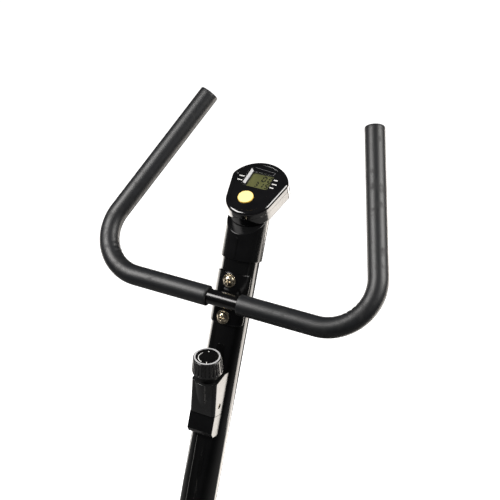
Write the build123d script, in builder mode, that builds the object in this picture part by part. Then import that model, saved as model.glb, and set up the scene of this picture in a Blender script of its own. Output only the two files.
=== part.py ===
from build123d import *
import os
from math import acos, asin, cos, radians, sin, sqrt, tan

os.makedirs("parts", exist_ok=True)

# An upright magnetic exercise bike. Millimetres and degrees, +X to the rider's right,
# +Y forward, +Z up, with the origin on the floor under the middle of the bike.

# Stance
OVERALL_LENGTH = 936.0
BAR_HEIGHT = 1010.0
FRONT_INSET = 88.0
SADDLE_HEIGHT = 800.0

# Mast and handlebar
MAST_LEAN = 23.8
MAST_DIA = 60.0
MAST_WALL = 1.5
MAST_TOP = 100.0
MAST_BELOW = 440.0
NECK_LENGTH = 90.0
BAR_LEAN = 48.6
BAR_DIA = 25.0
BAR_WALL = 1.5
BAR_HALF_WIDTH = 261.6
BAR_BEND = 74.0
ARM_LENGTH = 352.0
ARM_INWARD = 19.0
GRIP_DIA = 33.0
GRIP_START = 28.0
BRACKET_THICK = 3.0
BRACKET_HEIGHT = 84.0
BRACKET_WRAP = 62.0
BAR_BOLT_PITCH = 60.0
BAR_BOLT_DIA = 8.0

# Console
CONSOLE_TILT = 18.0
CONSOLE_UP = 166.0
CONSOLE_OUT = 11.1
CONSOLE_THICK = 30.0
CONSOLE_SPLIT = 13.0
CONSOLE_WALL = 2.2
CONSOLE_TOP_RADIUS = 51.5
CONSOLE_FOOT_RADIUS = 39.5
CONSOLE_CENTRES = 23.8
CONSOLE_CORNER = 16.0
CONSOLE_FLARE = 12.2
CONSOLE_ROUND = 5.0
WINDOW_WIDTH = 46.0
WINDOW_HEIGHT = 32.0
WINDOW_X = -2.3
WINDOW_Y = 34.5
BUTTON_X = -5.3
BUTTON_Y = -5.0
BUTTON_DIA = 25.0
BUTTON_TRAVEL = 1.5
COLLAR_BOTTOM = 64.0
COLLAR_WALL = 3.0
COLLAR_ROUND = 2.0
BATTERY_DIA = 14.2
BATTERY_LENGTH = 50.0

# Tension control
KNOB_UP = -119.6
KNOB_OUT = 54.6
KNOB_HEIGHT = 33.0
KNOB_TOP_DIA = 46.0
KNOB_FOOT_DIA = 50.0
HOUSING_WIDTH = 44.0
HOUSING_FOOT = -190.0
HOUSING_FOOT_OUT = 50.0
LOWER_COVER_FOOT = -227.0
LOWER_COVER_OUT = 46.5
KNOB_NECK = 8.0
KNOB_NECK_DIA = 40.0
HOUSING_FRONT = 15.4
HOUSING_ROUND = 6.0
HOUSING_SHOULDER = 34.0
CABLE_DIA = 5.0
CABLE_BEND = 50.0

# Base
STAB_DIA = 50.0
TUBE_WALL = 2.0
FRONT_STAB_LENGTH = 440.0
REAR_STAB_LENGTH = 468.0
CAP_RADIUS = 33.0
FOOT_FLAT = 1.5
CAP_LENGTH = 46.0
CAP_END = 6.0
STAB_BOLT_X = 43.0
STAB_BOLT_DIA = 8.0
CRADLE_THICK = 4.0
CRADLE_LENGTH = 112.0
SPINE_WIDTH = 60.0
SPINE_HEIGHT = 50.0
WHEEL_DIA = 44.0
WHEEL_WIDTH = 16.0
WHEEL_AHEAD = 52.0
WHEEL_LIFT = 3.0
WHEEL_PIN_DIA = 8.0

# Seat
SEAT_LEAN = 15.0
SEAT_JOIN_Z = 230.0
SEAT_TUBE_DIA = 50.0
SEAT_TUBE_LENGTH = 330.0
SEAT_POST_DIA = 38.0
SEAT_POST_LENGTH = 360.0
SEAT_PIN_DROP = 30.0
SEAT_PIN_DIA = 9.6
SEAT_STEP = 25.0
SEAT_STEPS_DOWN = 2
SEAT_STEPS_UP = 4
SADDLE_LENGTH = 270.0
SADDLE_WIDTH = 208.0
SADDLE_NOSE = 64.0
PAD_HEIGHT = 60.0
SHELL_HEIGHT = 12.0
SEAT_PLATE_THICK = 4.0

# Drive
CRANK_Z = 290.0
CRANK_AHEAD = 80.0
CRANK_LENGTH = 165.0
CRANK_GAP = 3.5
CRANK_THICK = 14.0
AXLE_DIA = 17.0
SHELL_DIA = 46.0
SHELL_WIDTH = 60.0
BEARING_DIA = 40.0
BEARING_WIDTH = 12.0
PULLEY_DIA = 200.0
PULLEY_WIDTH = 10.0
BELT_WIDTH = 8.0
BELT_THICK = 2.2
DRIVE_CENTRES = 210.0
FLYWHEEL_Z = 300.0
FLYWHEEL_DIA = 230.0
FLYWHEEL_WIDTH = 22.0
FLYWHEEL_RIM = 24.0
SMALL_PULLEY_DIA = 44.0
FLYWHEEL_AXLE_DIA = 12.0
FORK_THICK = 4.0
IDLER_DIA = 30.0
MAGNET_GAP = 3.0
MAGNET_THICK = 4.0
MAGNET_ARM_THICK = 4.0
PIVOT_DIA = 8.0
COVER_WIDTH = 121.0
COVER_WALL = 2.5
COVER_CRANK_SPACE = 14.0
COVER_FLYWHEEL_SPACE = 26.0
COVER_EDGE = 16.0
PEDAL_LENGTH = 98.0
PEDAL_DEPTH = 84.0
PEDAL_HEIGHT = 24.0
PEDAL_DROP = 3.0
PEDAL_SPINDLE_DIA = 12.0
STRAP_WIDTH = 28.0
STRAP_THICK = 2.4
STRAP_RISE = 48.0
STRAP_AHEAD = 25.0

# Clearances
FIT = 0.3
RUNNING = 0.06
PRESS = 0.03
HOLE_CLEARANCE = 0.4

# Places that follow from the sizes above
lean = radians(MAST_LEAN)
bar_lean = radians(BAR_LEAN)
inward = radians(ARM_INWARD)
arm_forward = cos(inward) * sin(bar_lean)
tip_reach = ARM_LENGTH * arm_forward + GRIP_DIA / 2 * sqrt(1 - arm_forward**2)
bar_y = OVERALL_LENGTH / 2 - tip_reach
bar_standoff = MAST_DIA / 2 + BRACKET_THICK + BAR_DIA / 2
foot_y = bar_y + bar_standoff * cos(lean)
foot_z = BAR_HEIGHT - bar_standoff * sin(lean)
mast_plane = Plane(origin=(0, foot_y, foot_z), x_dir=(1, 0, 0), z_dir=(0, sin(lean), cos(lean)))
bar_plane = Plane(
    origin=(0, bar_y, BAR_HEIGHT), x_dir=(1, 0, 0), z_dir=(0, -cos(bar_lean), sin(bar_lean))
)


def mast_point(up, out=0, across=0):
    """A point given along the mast, out of its axis towards the rider, and across."""
    return mast_plane.from_local_coords((across, -out, up))


def along_mast(up, out=0, across=0):
    """A plane square to the mast, its normal up the mast."""
    return Plane(origin=mast_point(up, out, across), x_dir=(1, 0, 0), z_dir=mast_plane.z_dir)


def facing_rider(up, out=0, across=0):
    """A plane beside the mast, its normal towards the rider and its Y up the mast."""
    return Plane(
        origin=mast_point(up, out, across), x_dir=(1, 0, 0), z_dir=(0, -cos(lean), sin(lean))
    )


def around_mast(up, turn):
    """A plane on the mast axis whose normal points out of the mast, turned from the rider's side."""
    turn = radians(turn)
    way = (sin(turn), -cos(lean) * cos(turn), sin(lean) * cos(turn))
    return Plane(origin=mast_point(up), x_dir=mast_plane.z_dir, z_dir=way)


def beside_mast(up, across):
    """A plane in the side view of the mast: X towards the rider, Y up the mast."""
    return Plane(
        origin=mast_point(up, 0, across), x_dir=(0, -cos(lean), sin(lean)), z_dir=(-1, 0, 0)
    )


def head_y(z):
    return foot_y - tan(lean) * (foot_z - z)


tilt = radians(CONSOLE_TILT)
console_face = Plane(
    origin=mast_point(CONSOLE_UP, CONSOLE_OUT), x_dir=(1, 0, 0), z_dir=(0, -sin(tilt), cos(tilt))
)
knob_plane = Plane(origin=mast_point(KNOB_UP, KNOB_OUT))

stab_z = CAP_RADIUS - FOOT_FLAT
rear_y = -OVERALL_LENGTH / 2 + CAP_RADIUS
front_y = OVERALL_LENGTH / 2 - FRONT_INSET
spine_bottom = stab_z + STAB_DIA / 2 + FIT + CRADLE_THICK / 2
spine_top = spine_bottom + SPINE_HEIGHT
crank_y = head_y(CRANK_Z) + CRANK_AHEAD
flywheel_y = crank_y + DRIVE_CENTRES
wheel_y = front_y + WHEEL_AHEAD
wheel_z = WHEEL_DIA / 2 + WHEEL_LIFT
wheel_x = FRONT_STAB_LENGTH / 2 + CAP_END - CAP_LENGTH / 2

seat_lean = radians(SEAT_LEAN)
seat_plane = Plane(
    origin=(0, head_y(SEAT_JOIN_Z), SEAT_JOIN_Z),
    x_dir=(1, 0, 0),
    z_dir=(0, -sin(seat_lean), cos(seat_lean)),
)
seat_pin_up = SEAT_TUBE_LENGTH - SEAT_PIN_DROP
pad_bottom = SADDLE_HEIGHT - PAD_HEIGHT
shell_bottom = pad_bottom - FIT - SHELL_HEIGHT
plate_bottom = shell_bottom - FIT - SEAT_PLATE_THICK
seat_post_top = (plate_bottom + SEAT_PLATE_THICK / 2 - SEAT_JOIN_Z) / cos(seat_lean)
saddle_y = head_y(SEAT_JOIN_Z) - tan(seat_lean) * (pad_bottom - SEAT_JOIN_Z)

pulley_x = SHELL_WIDTH / 2 + 1.2
fork_left = FLYWHEEL_WIDTH / 2 + 9
fork_right = pulley_x + PULLEY_WIDTH + 3
cover_half = COVER_WIDTH / 2
crank_x = cover_half + CRANK_GAP
pedal_x = crank_x + CRANK_THICK + 8


def seat_square(up, out=0):
    """A plane square to the seat tube."""
    return Plane(
        origin=seat_plane.from_local_coords((0, out, up)), x_dir=(1, 0, 0), z_dir=seat_plane.z_dir
    )


def seat_rear(up, out=0):
    """A plane behind the seat tube, its normal pointing back out of the tube."""
    return Plane(
        origin=seat_plane.from_local_coords((0, -out, up)), x_dir=(1, 0, 0), z_dir=-seat_plane.y_dir
    )


def side_view(x):
    """The side view of the bike at x: local X is forward, local Y is up."""
    return Plane(origin=(x, 0, 0), x_dir=(0, 1, 0), z_dir=(1, 0, 0))


# Stabilizer tubes, drilled for the bolts that hold them under the spine
for name, y, length in (
    ("front_stabilizer", front_y, FRONT_STAB_LENGTH),
    ("rear_stabilizer", rear_y, REAR_STAB_LENGTH),
):
    with BuildPart() as stabilizer:
        with BuildSketch(side_view(-length / 2)):
            with Locations((y, stab_z)):
                Circle(STAB_DIA / 2)
                Circle(STAB_DIA / 2 - TUBE_WALL, mode=Mode.SUBTRACT)
        extrude(amount=length)
        with Locations((-STAB_BOLT_X, y, stab_z), (STAB_BOLT_X, y, stab_z)):
            Cylinder(STAB_BOLT_DIA / 2 + HOLE_CLEARANCE, STAB_DIA + 2, mode=Mode.SUBTRACT)
    stabilizer.part.label = name
    export_step(stabilizer.part, f"parts/{name}.step")


def cap_body(side, y, length):
    """A moulded cup over one end of a stabilizer, cut flat where it stands."""
    outer = length / 2 + CAP_END
    with BuildSketch(side_view(side * (outer - CAP_LENGTH))) as section:
        with Locations((y, stab_z)):
            Circle(CAP_RADIUS)
    extrude(section.sketch, amount=side * CAP_LENGTH)


def cap_pocket(side, y, length):
    """The bore that the tube end sits in, and the flat foot."""
    inner = length / 2 + CAP_END - CAP_LENGTH
    with BuildSketch(side_view(side * (inner - 1))) as bore:
        with Locations((y, stab_z)):
            Circle(STAB_DIA / 2 + FIT)
    extrude(bore.sketch, amount=side * (length / 2 + FIT - inner + 1), mode=Mode.SUBTRACT)
    with Locations((side * length / 2, y, -CAP_RADIUS)):
        Box(4 * CAP_LENGTH, 6 * CAP_RADIUS, 2 * CAP_RADIUS, mode=Mode.SUBTRACT)


# Rear end caps
with BuildPart() as rear_end_caps:
    for side in (-1, 1):
        cap_body(side, rear_y, REAR_STAB_LENGTH)
    ends = rear_end_caps.edges().filter_by(GeomType.CIRCLE).group_by(Axis.X)
    fillet(ends[0] + ends[-1], radius=9)
    for side in (-1, 1):
        cap_pocket(side, rear_y, REAR_STAB_LENGTH)
rear_end_caps.part.label = "rear_end_caps"
export_step(rear_end_caps.part, "parts/rear_end_caps.step")

# Front end caps, with the two ears that hold a transport wheel
ear_span = WHEEL_WIDTH + 13
with BuildPart() as front_end_caps:
    for side in (-1, 1):
        cap_body(side, front_y, FRONT_STAB_LENGTH)
    ends = front_end_caps.edges().filter_by(GeomType.CIRCLE).group_by(Axis.X)
    fillet(ends[0] + ends[-1], radius=9)
    for side in (-1, 1):
        with BuildSketch(side_view(side * wheel_x - ear_span / 2)):
            with Locations((wheel_y, wheel_z)):
                Circle(WHEEL_DIA / 2 - 6)
            with Locations((front_y, stab_z)):
                Circle(CAP_RADIUS - 8)
            make_hull()
        extrude(amount=ear_span)
    for side in (-1, 1):
        cap_pocket(side, front_y, FRONT_STAB_LENGTH)
        with BuildSketch(side_view(side * wheel_x - WHEEL_WIDTH / 2 - 1)):
            with Locations((wheel_y, wheel_z)):
                Circle(WHEEL_DIA / 2 + 1.5)
        extrude(amount=WHEEL_WIDTH + 2, mode=Mode.SUBTRACT)
        with BuildSketch(side_view(side * wheel_x - ear_span)):
            with Locations((wheel_y, wheel_z)):
                Circle(WHEEL_PIN_DIA / 2 + PRESS)
        extrude(amount=2 * ear_span, mode=Mode.SUBTRACT)
front_end_caps.part.label = "front_end_caps"
export_step(front_end_caps.part, "parts/front_end_caps.step")

# Transport wheels: solid tyres with a shallow groove on each side
for name, side in (("left_transport_wheel", -1), ("right_transport_wheel", 1)):
    with BuildPart() as wheel:
        with BuildSketch(side_view(side * wheel_x - WHEEL_WIDTH / 2)):
            with Locations((wheel_y, wheel_z)):
                Circle(WHEEL_DIA / 2)
        extrude(amount=WHEEL_WIDTH)
        fillet(wheel.edges(), radius=3)
        for face_x in (-WHEEL_WIDTH / 2, WHEEL_WIDTH / 2 - 2.5):
            with BuildSketch(side_view(side * wheel_x + face_x)):
                with Locations((wheel_y, wheel_z)):
                    Circle(WHEEL_DIA / 2 - 6)
                    Circle(WHEEL_PIN_DIA / 2 + 3, mode=Mode.SUBTRACT)
            extrude(amount=2.5, mode=Mode.SUBTRACT)
        with BuildSketch(side_view(side * wheel_x - WHEEL_WIDTH)):
            with Locations((wheel_y, wheel_z)):
                Circle(WHEEL_PIN_DIA / 2 + RUNNING)
        extrude(amount=2 * WHEEL_WIDTH, mode=Mode.SUBTRACT)
    wheel.part.label = name
    export_step(wheel.part, f"parts/{name}.step")

# Wheel pins, pressed through the ears
with BuildPart() as wheel_pins:
    for side in (-1, 1):
        with BuildSketch(side_view(side * wheel_x - ear_span / 2)):
            with Locations((wheel_y, wheel_z)):
                Circle(WHEEL_PIN_DIA / 2)
        extrude(amount=ear_span)
wheel_pins.part.label = "wheel_pins"
export_step(wheel_pins.part, "parts/wheel_pins.step")

# Main frame: spine, cradles, head tube and neck, seat tube, crank shell and flywheel fork, welded
spine_start = rear_y - STAB_DIA / 2
spine_end = front_y + STAB_DIA / 2
neck_dia = MAST_DIA - 2 * MAST_WALL - 2 * FIT
head_bore = MAST_DIA / 2 - TUBE_WALL
head_foot = (spine_bottom + SPINE_HEIGHT / 2 - foot_z) / cos(lean)
head_top = -MAST_BELOW - FIT
pin_boss_out = SEAT_TUBE_DIA / 2 + 18
magnet_radius = FLYWHEEL_DIA / 2 + MAGNET_GAP + MAGNET_THICK + PRESS
pivot_angle = radians(-8)
pivot_radius = magnet_radius + MAGNET_ARM_THICK / 2
pivot_y = flywheel_y + pivot_radius * cos(pivot_angle)
pivot_z = FLYWHEEL_Z + pivot_radius * sin(pivot_angle)
arm_half = FLYWHEEL_WIDTH / 2 + 2
fork_plate_lows = (-fork_left - FORK_THICK, fork_right)
cable_exit_z = CRANK_Z + 95
cable_turn_up = (cable_exit_z - foot_z) / cos(lean)
cable_exit_turn = acos(1 - (MAST_DIA - TUBE_WALL) / 2 / CABLE_BEND)
cable_exit_up = CABLE_BEND * (tan(radians(90 + MAST_LEAN) / 2) - sin(cable_exit_turn))
with BuildPart() as main_frame:
    with BuildSketch(along_mast(head_foot)):
        Circle(MAST_DIA / 2)
    extrude(amount=head_top - head_foot)
    with BuildSketch(along_mast(head_top - NECK_LENGTH)):
        Circle(neck_dia / 2)
    extrude(amount=2 * NECK_LENGTH)
    split(bisect_by=Plane.XY.offset(spine_top - TUBE_WALL / 2), keep=Keep.TOP)
    with BuildSketch(Plane(origin=(0, spine_start, spine_bottom), x_dir=(1, 0, 0), z_dir=(0, 1, 0))):
        with Locations((0, -SPINE_HEIGHT / 2)):
            RectangleRounded(SPINE_WIDTH, SPINE_HEIGHT, 5)
    extrude(amount=spine_end - spine_start)
    for y in (rear_y, front_y):
        with BuildSketch(side_view(-CRADLE_LENGTH / 2)):
            with Locations((y, stab_z)):
                Circle(STAB_DIA / 2 + FIT + CRADLE_THICK)
            with Locations((y, stab_z - CAP_RADIUS + 6)):
                Rectangle(4 * CAP_RADIUS, 2 * CAP_RADIUS, mode=Mode.SUBTRACT)
        extrude(amount=CRADLE_LENGTH)
    with BuildSketch(seat_square(0)):
        Circle(SEAT_TUBE_DIA / 2)
    extrude(amount=SEAT_TUBE_LENGTH)
    with BuildSketch(seat_rear(seat_pin_up)):
        Circle(11)
    extrude(amount=pin_boss_out)
    with Locations((0, crank_y, CRANK_Z)):
        Cylinder(SHELL_DIA / 2, SHELL_WIDTH, rotation=(0, 90, 0))
    with BuildSketch(side_view(-15)):
        with BuildLine():
            Polyline(
                (crank_y, CRANK_Z + SHELL_DIA / 2 - 2),
                (crank_y, CRANK_Z - SHELL_DIA / 2 + 2),
                (head_y(CRANK_Z - SHELL_DIA), CRANK_Z - SHELL_DIA),
                (head_y(CRANK_Z + SHELL_DIA), CRANK_Z + SHELL_DIA),
                close=True,
            )
        make_face()
    extrude(amount=30)
    strut_height = CRANK_Z - spine_top + SPINE_HEIGHT / 2
    with Locations((0, crank_y, CRANK_Z - strut_height / 2)):
        Box(30, 36, strut_height)
    with Locations(((fork_right + FORK_THICK - fork_left - FORK_THICK) / 2, flywheel_y, spine_top + 2)):
        Box(fork_right + fork_left + 2 * FORK_THICK, 90, 6)
    for plate_x in fork_plate_lows:
        with BuildSketch(side_view(plate_x)):
            with Locations((flywheel_y, FLYWHEEL_Z)):
                Circle(20)
            with Locations((flywheel_y, spine_top + 3)):
                Rectangle(90, 4)
            if plate_x < 0:
                with Locations((pivot_y, pivot_z)):
                    Circle(PIVOT_DIA)
            make_hull()
        extrude(amount=FORK_THICK)
    with BuildSketch(side_view(-fork_left - FORK_THICK)):
        with Locations((pivot_y, pivot_z)):
            Circle(PIVOT_DIA / 2)
    extrude(amount=fork_left + FORK_THICK + arm_half + 2)
    # Bores and holes
    with BuildSketch(Plane(origin=(0, spine_start - 1, spine_bottom), x_dir=(1, 0, 0), z_dir=(0, 1, 0))):
        with Locations((0, -SPINE_HEIGHT / 2)):
            RectangleRounded(SPINE_WIDTH - 2 * TUBE_WALL, SPINE_HEIGHT - 2 * TUBE_WALL, 3)
    extrude(amount=spine_end - spine_start + 2, mode=Mode.SUBTRACT)
    for y in (rear_y, front_y):
        with BuildSketch(side_view(-CRADLE_LENGTH)):
            with Locations((y, stab_z)):
                Circle(STAB_DIA / 2 + FIT)
        extrude(amount=2 * CRADLE_LENGTH, mode=Mode.SUBTRACT)
        with Locations((-STAB_BOLT_X, y, stab_z), (STAB_BOLT_X, y, stab_z)):
            Cylinder(STAB_BOLT_DIA / 2 + HOLE_CLEARANCE, 2 * CAP_RADIUS + 20, mode=Mode.SUBTRACT)
    with BuildSketch(along_mast(head_foot + SPINE_HEIGHT)):
        Circle(head_bore - FIT - 1)
    extrude(amount=head_top - head_foot + NECK_LENGTH, mode=Mode.SUBTRACT)
    with BuildSketch(seat_square(SEAT_TUBE_DIA + MAST_DIA / 2 + 10)):
        Circle(SEAT_TUBE_DIA / 2 - TUBE_WALL)
    extrude(amount=SEAT_TUBE_LENGTH, mode=Mode.SUBTRACT)
    with BuildSketch(seat_rear(seat_pin_up)):
        Circle(SEAT_PIN_DIA / 2 + FIT)
    extrude(amount=pin_boss_out + 1, mode=Mode.SUBTRACT)
    with Locations((0, crank_y, CRANK_Z)):
        Cylinder(AXLE_DIA / 2 + 4, SHELL_WIDTH + 2, rotation=(0, 90, 0), mode=Mode.SUBTRACT)
    for side in (-1, 1):
        with Locations((side * (SHELL_WIDTH / 2 - BEARING_WIDTH / 2 + 1), crank_y, CRANK_Z)):
            Cylinder(
                BEARING_DIA / 2 + PRESS, BEARING_WIDTH + 2, rotation=(0, 90, 0), mode=Mode.SUBTRACT
            )
    with Locations((0, flywheel_y, FLYWHEEL_Z)):
        Cylinder(
            FLYWHEEL_AXLE_DIA / 2 + PRESS, 4 * fork_right, rotation=(0, 90, 0), mode=Mode.SUBTRACT
        )
    # Holes for the mast bolts in the neck, and for the cable in the head tube
    for turn in (-90, 0, 90):
        with Locations(around_mast(-MAST_BELOW + NECK_LENGTH / 2, turn)):
            Cylinder(
                BAR_BOLT_DIA / 2 + HOLE_CLEARANCE,
                MAST_DIA,
                align=(Align.CENTER, Align.CENTER, Align.MIN),
                mode=Mode.SUBTRACT,
            )
    with Locations(around_mast(cable_turn_up + cable_exit_up, 180)):
        Cylinder(
            CABLE_DIA / 2 + 1.7,
            MAST_DIA,
            align=(Align.CENTER, Align.CENTER, Align.MIN),
            mode=Mode.SUBTRACT,
        )
main_frame.part.label = "main_frame"
export_step(main_frame.part, "parts/main_frame.step")

# Plastic plugs in the two ends of the spine
with BuildPart() as spine_plugs:
    for end, inward_sign in ((spine_start, 1), (spine_end, -1)):
        plug = Plane(
            origin=(0, end, spine_bottom + SPINE_HEIGHT / 2), x_dir=(1, 0, 0), z_dir=(0, inward_sign, 0)
        )
        with BuildSketch(plug):
            RectangleRounded(
                SPINE_WIDTH - 2 * TUBE_WALL - 2 * FIT, SPINE_HEIGHT - 2 * TUBE_WALL - 2 * FIT, 2.6
            )
        extrude(amount=16)
        with BuildSketch(plug):
            RectangleRounded(SPINE_WIDTH, SPINE_HEIGHT, 5)
        extrude(amount=-3)
spine_plugs.part.label = "spine_plugs"
export_step(spine_plugs.part, "parts/spine_plugs.step")

# Carriage bolts up through each stabilizer and cradle, with dome nuts on top
bolt_top = stab_z + STAB_DIA / 2 + FIT + CRADLE_THICK
with BuildPart() as stabilizer_bolts:
    for y in (rear_y, front_y):
        for x in (-STAB_BOLT_X, STAB_BOLT_X):
            with BuildSketch(Plane(origin=(x, y, 0), x_dir=(1, 0, 0), z_dir=(0, -1, 0))):
                with BuildLine():
                    Polyline(
                        (0, stab_z - STAB_DIA / 2 - 4),
                        (6, stab_z - STAB_DIA / 2 - 4),
                        (9, stab_z - STAB_DIA / 2),
                        (STAB_BOLT_DIA / 2, stab_z - STAB_DIA / 2),
                        (STAB_BOLT_DIA / 2, bolt_top),
                        (9, bolt_top),
                        (8, bolt_top + 5),
                        (4, bolt_top + 9),
                        (0, bolt_top + 9),
                        close=True,
                    )
                make_face()
            revolve(axis=Axis((x, y, 0), (0, 0, 1)))
stabilizer_bolts.part.label = "stabilizer_bolts"
export_step(stabilizer_bolts.part, "parts/stabilizer_bolts.step")

# Mast: a round tube over the neck, drilled for its bolts and slotted for the cable
cable_slot_up = HOUSING_FOOT + 8
with BuildPart() as mast:
    with BuildSketch(along_mast(-MAST_BELOW)):
        Circle(MAST_DIA / 2)
        Circle(MAST_DIA / 2 - MAST_WALL, mode=Mode.SUBTRACT)
    extrude(amount=MAST_BELOW + MAST_TOP)
    for up in (-BAR_BOLT_PITCH / 2, BAR_BOLT_PITCH / 2):
        with Locations(facing_rider(up)):
            Cylinder(
                BAR_BOLT_DIA / 2 + HOLE_CLEARANCE,
                MAST_DIA,
                align=(Align.CENTER, Align.CENTER, Align.MIN),
                mode=Mode.SUBTRACT,
            )
    for turn in (-90, 0, 90):
        with Locations(around_mast(-MAST_BELOW + NECK_LENGTH / 2, turn)):
            Cylinder(
                BAR_BOLT_DIA / 2 + HOLE_CLEARANCE,
                MAST_DIA,
                align=(Align.CENTER, Align.CENTER, Align.MIN),
                mode=Mode.SUBTRACT,
            )
    with BuildSketch(facing_rider(cable_slot_up)):
        SlotOverall(40, CABLE_DIA + 5, rotation=90)
    extrude(amount=MAST_DIA, mode=Mode.SUBTRACT)
mast.part.label = "mast"
export_step(mast.part, "parts/mast.step")


def dome_middle(radius, rise):
    """The middle point of a dome's arc, measured from the centre of its foot."""
    sphere = (radius**2 + rise**2) / (2 * rise)
    half_turn = asin(radius / sphere) / 2
    return sphere * sin(half_turn), rise - sphere + sphere * cos(half_turn)


def pan_screw(plane, head_dia, head_height, shank_dia, shank_length):
    """A domed screw: the head stands on the plane, the shank goes down through it."""
    edge = head_height * 0.3
    middle = dome_middle(head_dia / 2, head_height - edge)
    with BuildSketch(Plane(plane.origin, x_dir=plane.x_dir, z_dir=-plane.y_dir)) as profile:
        with BuildLine():
            Polyline((0, head_height), (0, -shank_length), (shank_dia / 2, -shank_length))
            Line((shank_dia / 2, -shank_length), (shank_dia / 2, 0))
            Line((shank_dia / 2, 0), (head_dia / 2, 0))
            Line((head_dia / 2, 0), (head_dia / 2, edge))
            ThreePointArc((head_dia / 2, edge), (middle[0], edge + middle[1]), (0, head_height))
        make_face()
    revolve(profile.sketch, axis=Axis(plane.origin, plane.z_dir))


def cross_recess(plane, head_dia, head_height):
    """The cross that the driver fits, sunk into the top of a domed head."""
    with BuildSketch(plane.offset(head_height + 1)) as cross:
        RectangleRounded(head_dia * 0.56, head_dia * 0.15, head_dia * 0.03)
        RectangleRounded(head_dia * 0.15, head_dia * 0.56, head_dia * 0.03)
    extrude(cross.sketch, amount=-1 - head_height * 0.6, mode=Mode.SUBTRACT)


# Mast bolts into the neck
with BuildPart() as mast_bolts:
    for turn in (-90, 0, 90):
        side = around_mast(-MAST_BELOW + NECK_LENGTH / 2, turn).offset(MAST_DIA / 2)
        pan_screw(side, 15, 5, BAR_BOLT_DIA, 14)
        cross_recess(side, 15, 5)
mast_bolts.part.label = "mast_bolts"
export_step(mast_bolts.part, "parts/mast_bolts.step")

# Handlebar: a bent tube welded across a curved plate that fits round the mast
tip = (BAR_HALF_WIDTH - ARM_LENGTH * sin(inward), ARM_LENGTH * cos(inward))
plug_inset = 4.0
short = (ARM_LENGTH - plug_inset) / ARM_LENGTH
tube_tip = (BAR_HALF_WIDTH - short * ARM_LENGTH * sin(inward), short * ARM_LENGTH * cos(inward))
bracket_outer = MAST_DIA / 2 + FIT / 3 + BRACKET_THICK
with BuildPart() as handlebar:
    with BuildSketch(along_mast(-BRACKET_HEIGHT / 2)):
        Circle(bracket_outer)
        Circle(MAST_DIA / 2 + FIT / 3, mode=Mode.SUBTRACT)
        with BuildLine():
            reach = 2 * bracket_outer
            Polyline(
                (0, 0),
                (-reach * sin(radians(BRACKET_WRAP)), -reach * cos(radians(BRACKET_WRAP))),
                (-reach, -2 * reach),
                (reach, -2 * reach),
                (reach * sin(radians(BRACKET_WRAP)), -reach * cos(radians(BRACKET_WRAP))),
                close=True,
            )
        make_face(mode=Mode.INTERSECT)
    extrude(amount=BRACKET_HEIGHT)
    corners = handlebar.edges().filter_by(GeomType.LINE).filter_by(
        lambda edge: abs(edge.length - BRACKET_THICK) < 0.5
    )
    fillet(corners, radius=6)
    with BuildLine(bar_plane) as bar_path:
        FilletPolyline(
            (-tube_tip[0], tube_tip[1]),
            (-BAR_HALF_WIDTH, 0),
            (BAR_HALF_WIDTH, 0),
            tube_tip,
            radius=BAR_BEND,
        )
    with BuildSketch(Plane(origin=bar_path.line @ 0, z_dir=bar_path.line % 0)):
        Circle(BAR_DIA / 2)
    sweep(path=bar_path.line)
    # The weld bead along both sides of the bar
    weld_half = GRIP_START - 3
    with BuildSketch(side_view(-weld_half)):
        with BuildLine():
            upper = mast_point(9, bracket_outer - 0.9)
            lower = mast_point(-9, bracket_outer - 0.9)
            centre = mast_point(0, bar_standoff)
            Polyline((upper.Y, upper.Z), (centre.Y, centre.Z), (lower.Y, lower.Z), close=True)
        make_face()
    extrude(amount=2 * weld_half)
    for up in (-BAR_BOLT_PITCH / 2, BAR_BOLT_PITCH / 2):
        with Locations(facing_rider(up)):
            Cylinder(
                BAR_BOLT_DIA / 2 + HOLE_CLEARANCE,
                MAST_DIA,
                align=(Align.CENTER, Align.CENTER, Align.MIN),
                mode=Mode.SUBTRACT,
            )
    with BuildSketch(along_mast(-BRACKET_HEIGHT)):
        Circle(MAST_DIA / 2 + FIT / 3)
    extrude(amount=2 * BRACKET_HEIGHT, mode=Mode.SUBTRACT)
    with BuildLine(bar_plane) as bore_path:
        FilletPolyline(
            (-tube_tip[0], tube_tip[1]),
            (-BAR_HALF_WIDTH, 0),
            (BAR_HALF_WIDTH, 0),
            tube_tip,
            radius=BAR_BEND,
        )
    with BuildSketch(Plane(origin=bore_path.line @ 0, z_dir=bore_path.line % 0)):
        Circle(BAR_DIA / 2 - BAR_WALL)
    sweep(path=bore_path.line, mode=Mode.SUBTRACT)
handlebar.part.label = "handlebar"
export_step(handlebar.part, "parts/handlebar.step")

# Bolts, washers and nuts that clamp the handlebar plate to the mast
washer_thick = 1.6
nut_seat = sqrt((MAST_DIA / 2 - MAST_WALL) ** 2 - 8**2) - FIT / 3
with BuildPart() as handlebar_bolts:
    for up in (-BAR_BOLT_PITCH / 2, BAR_BOLT_PITCH / 2):
        with BuildSketch(facing_rider(up, bracket_outer)):
            Circle(11)
            Circle(BAR_BOLT_DIA / 2 + HOLE_CLEARANCE, mode=Mode.SUBTRACT)
        extrude(amount=washer_thick)
        with BuildSketch(facing_rider(up, nut_seat)):
            RegularPolygon(7.5, 6)
            Circle(BAR_BOLT_DIA / 2 + PRESS, mode=Mode.SUBTRACT)
        extrude(amount=-6.5)
        head = facing_rider(up, bracket_outer + washer_thick + PRESS)
        pan_screw(head, 17, 5.5, BAR_BOLT_DIA, 20)
        cross_recess(head, 17, 5.5)
handlebar_bolts.part.label = "handlebar_bolts"
export_step(handlebar_bolts.part, "parts/handlebar_bolts.step")

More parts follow.
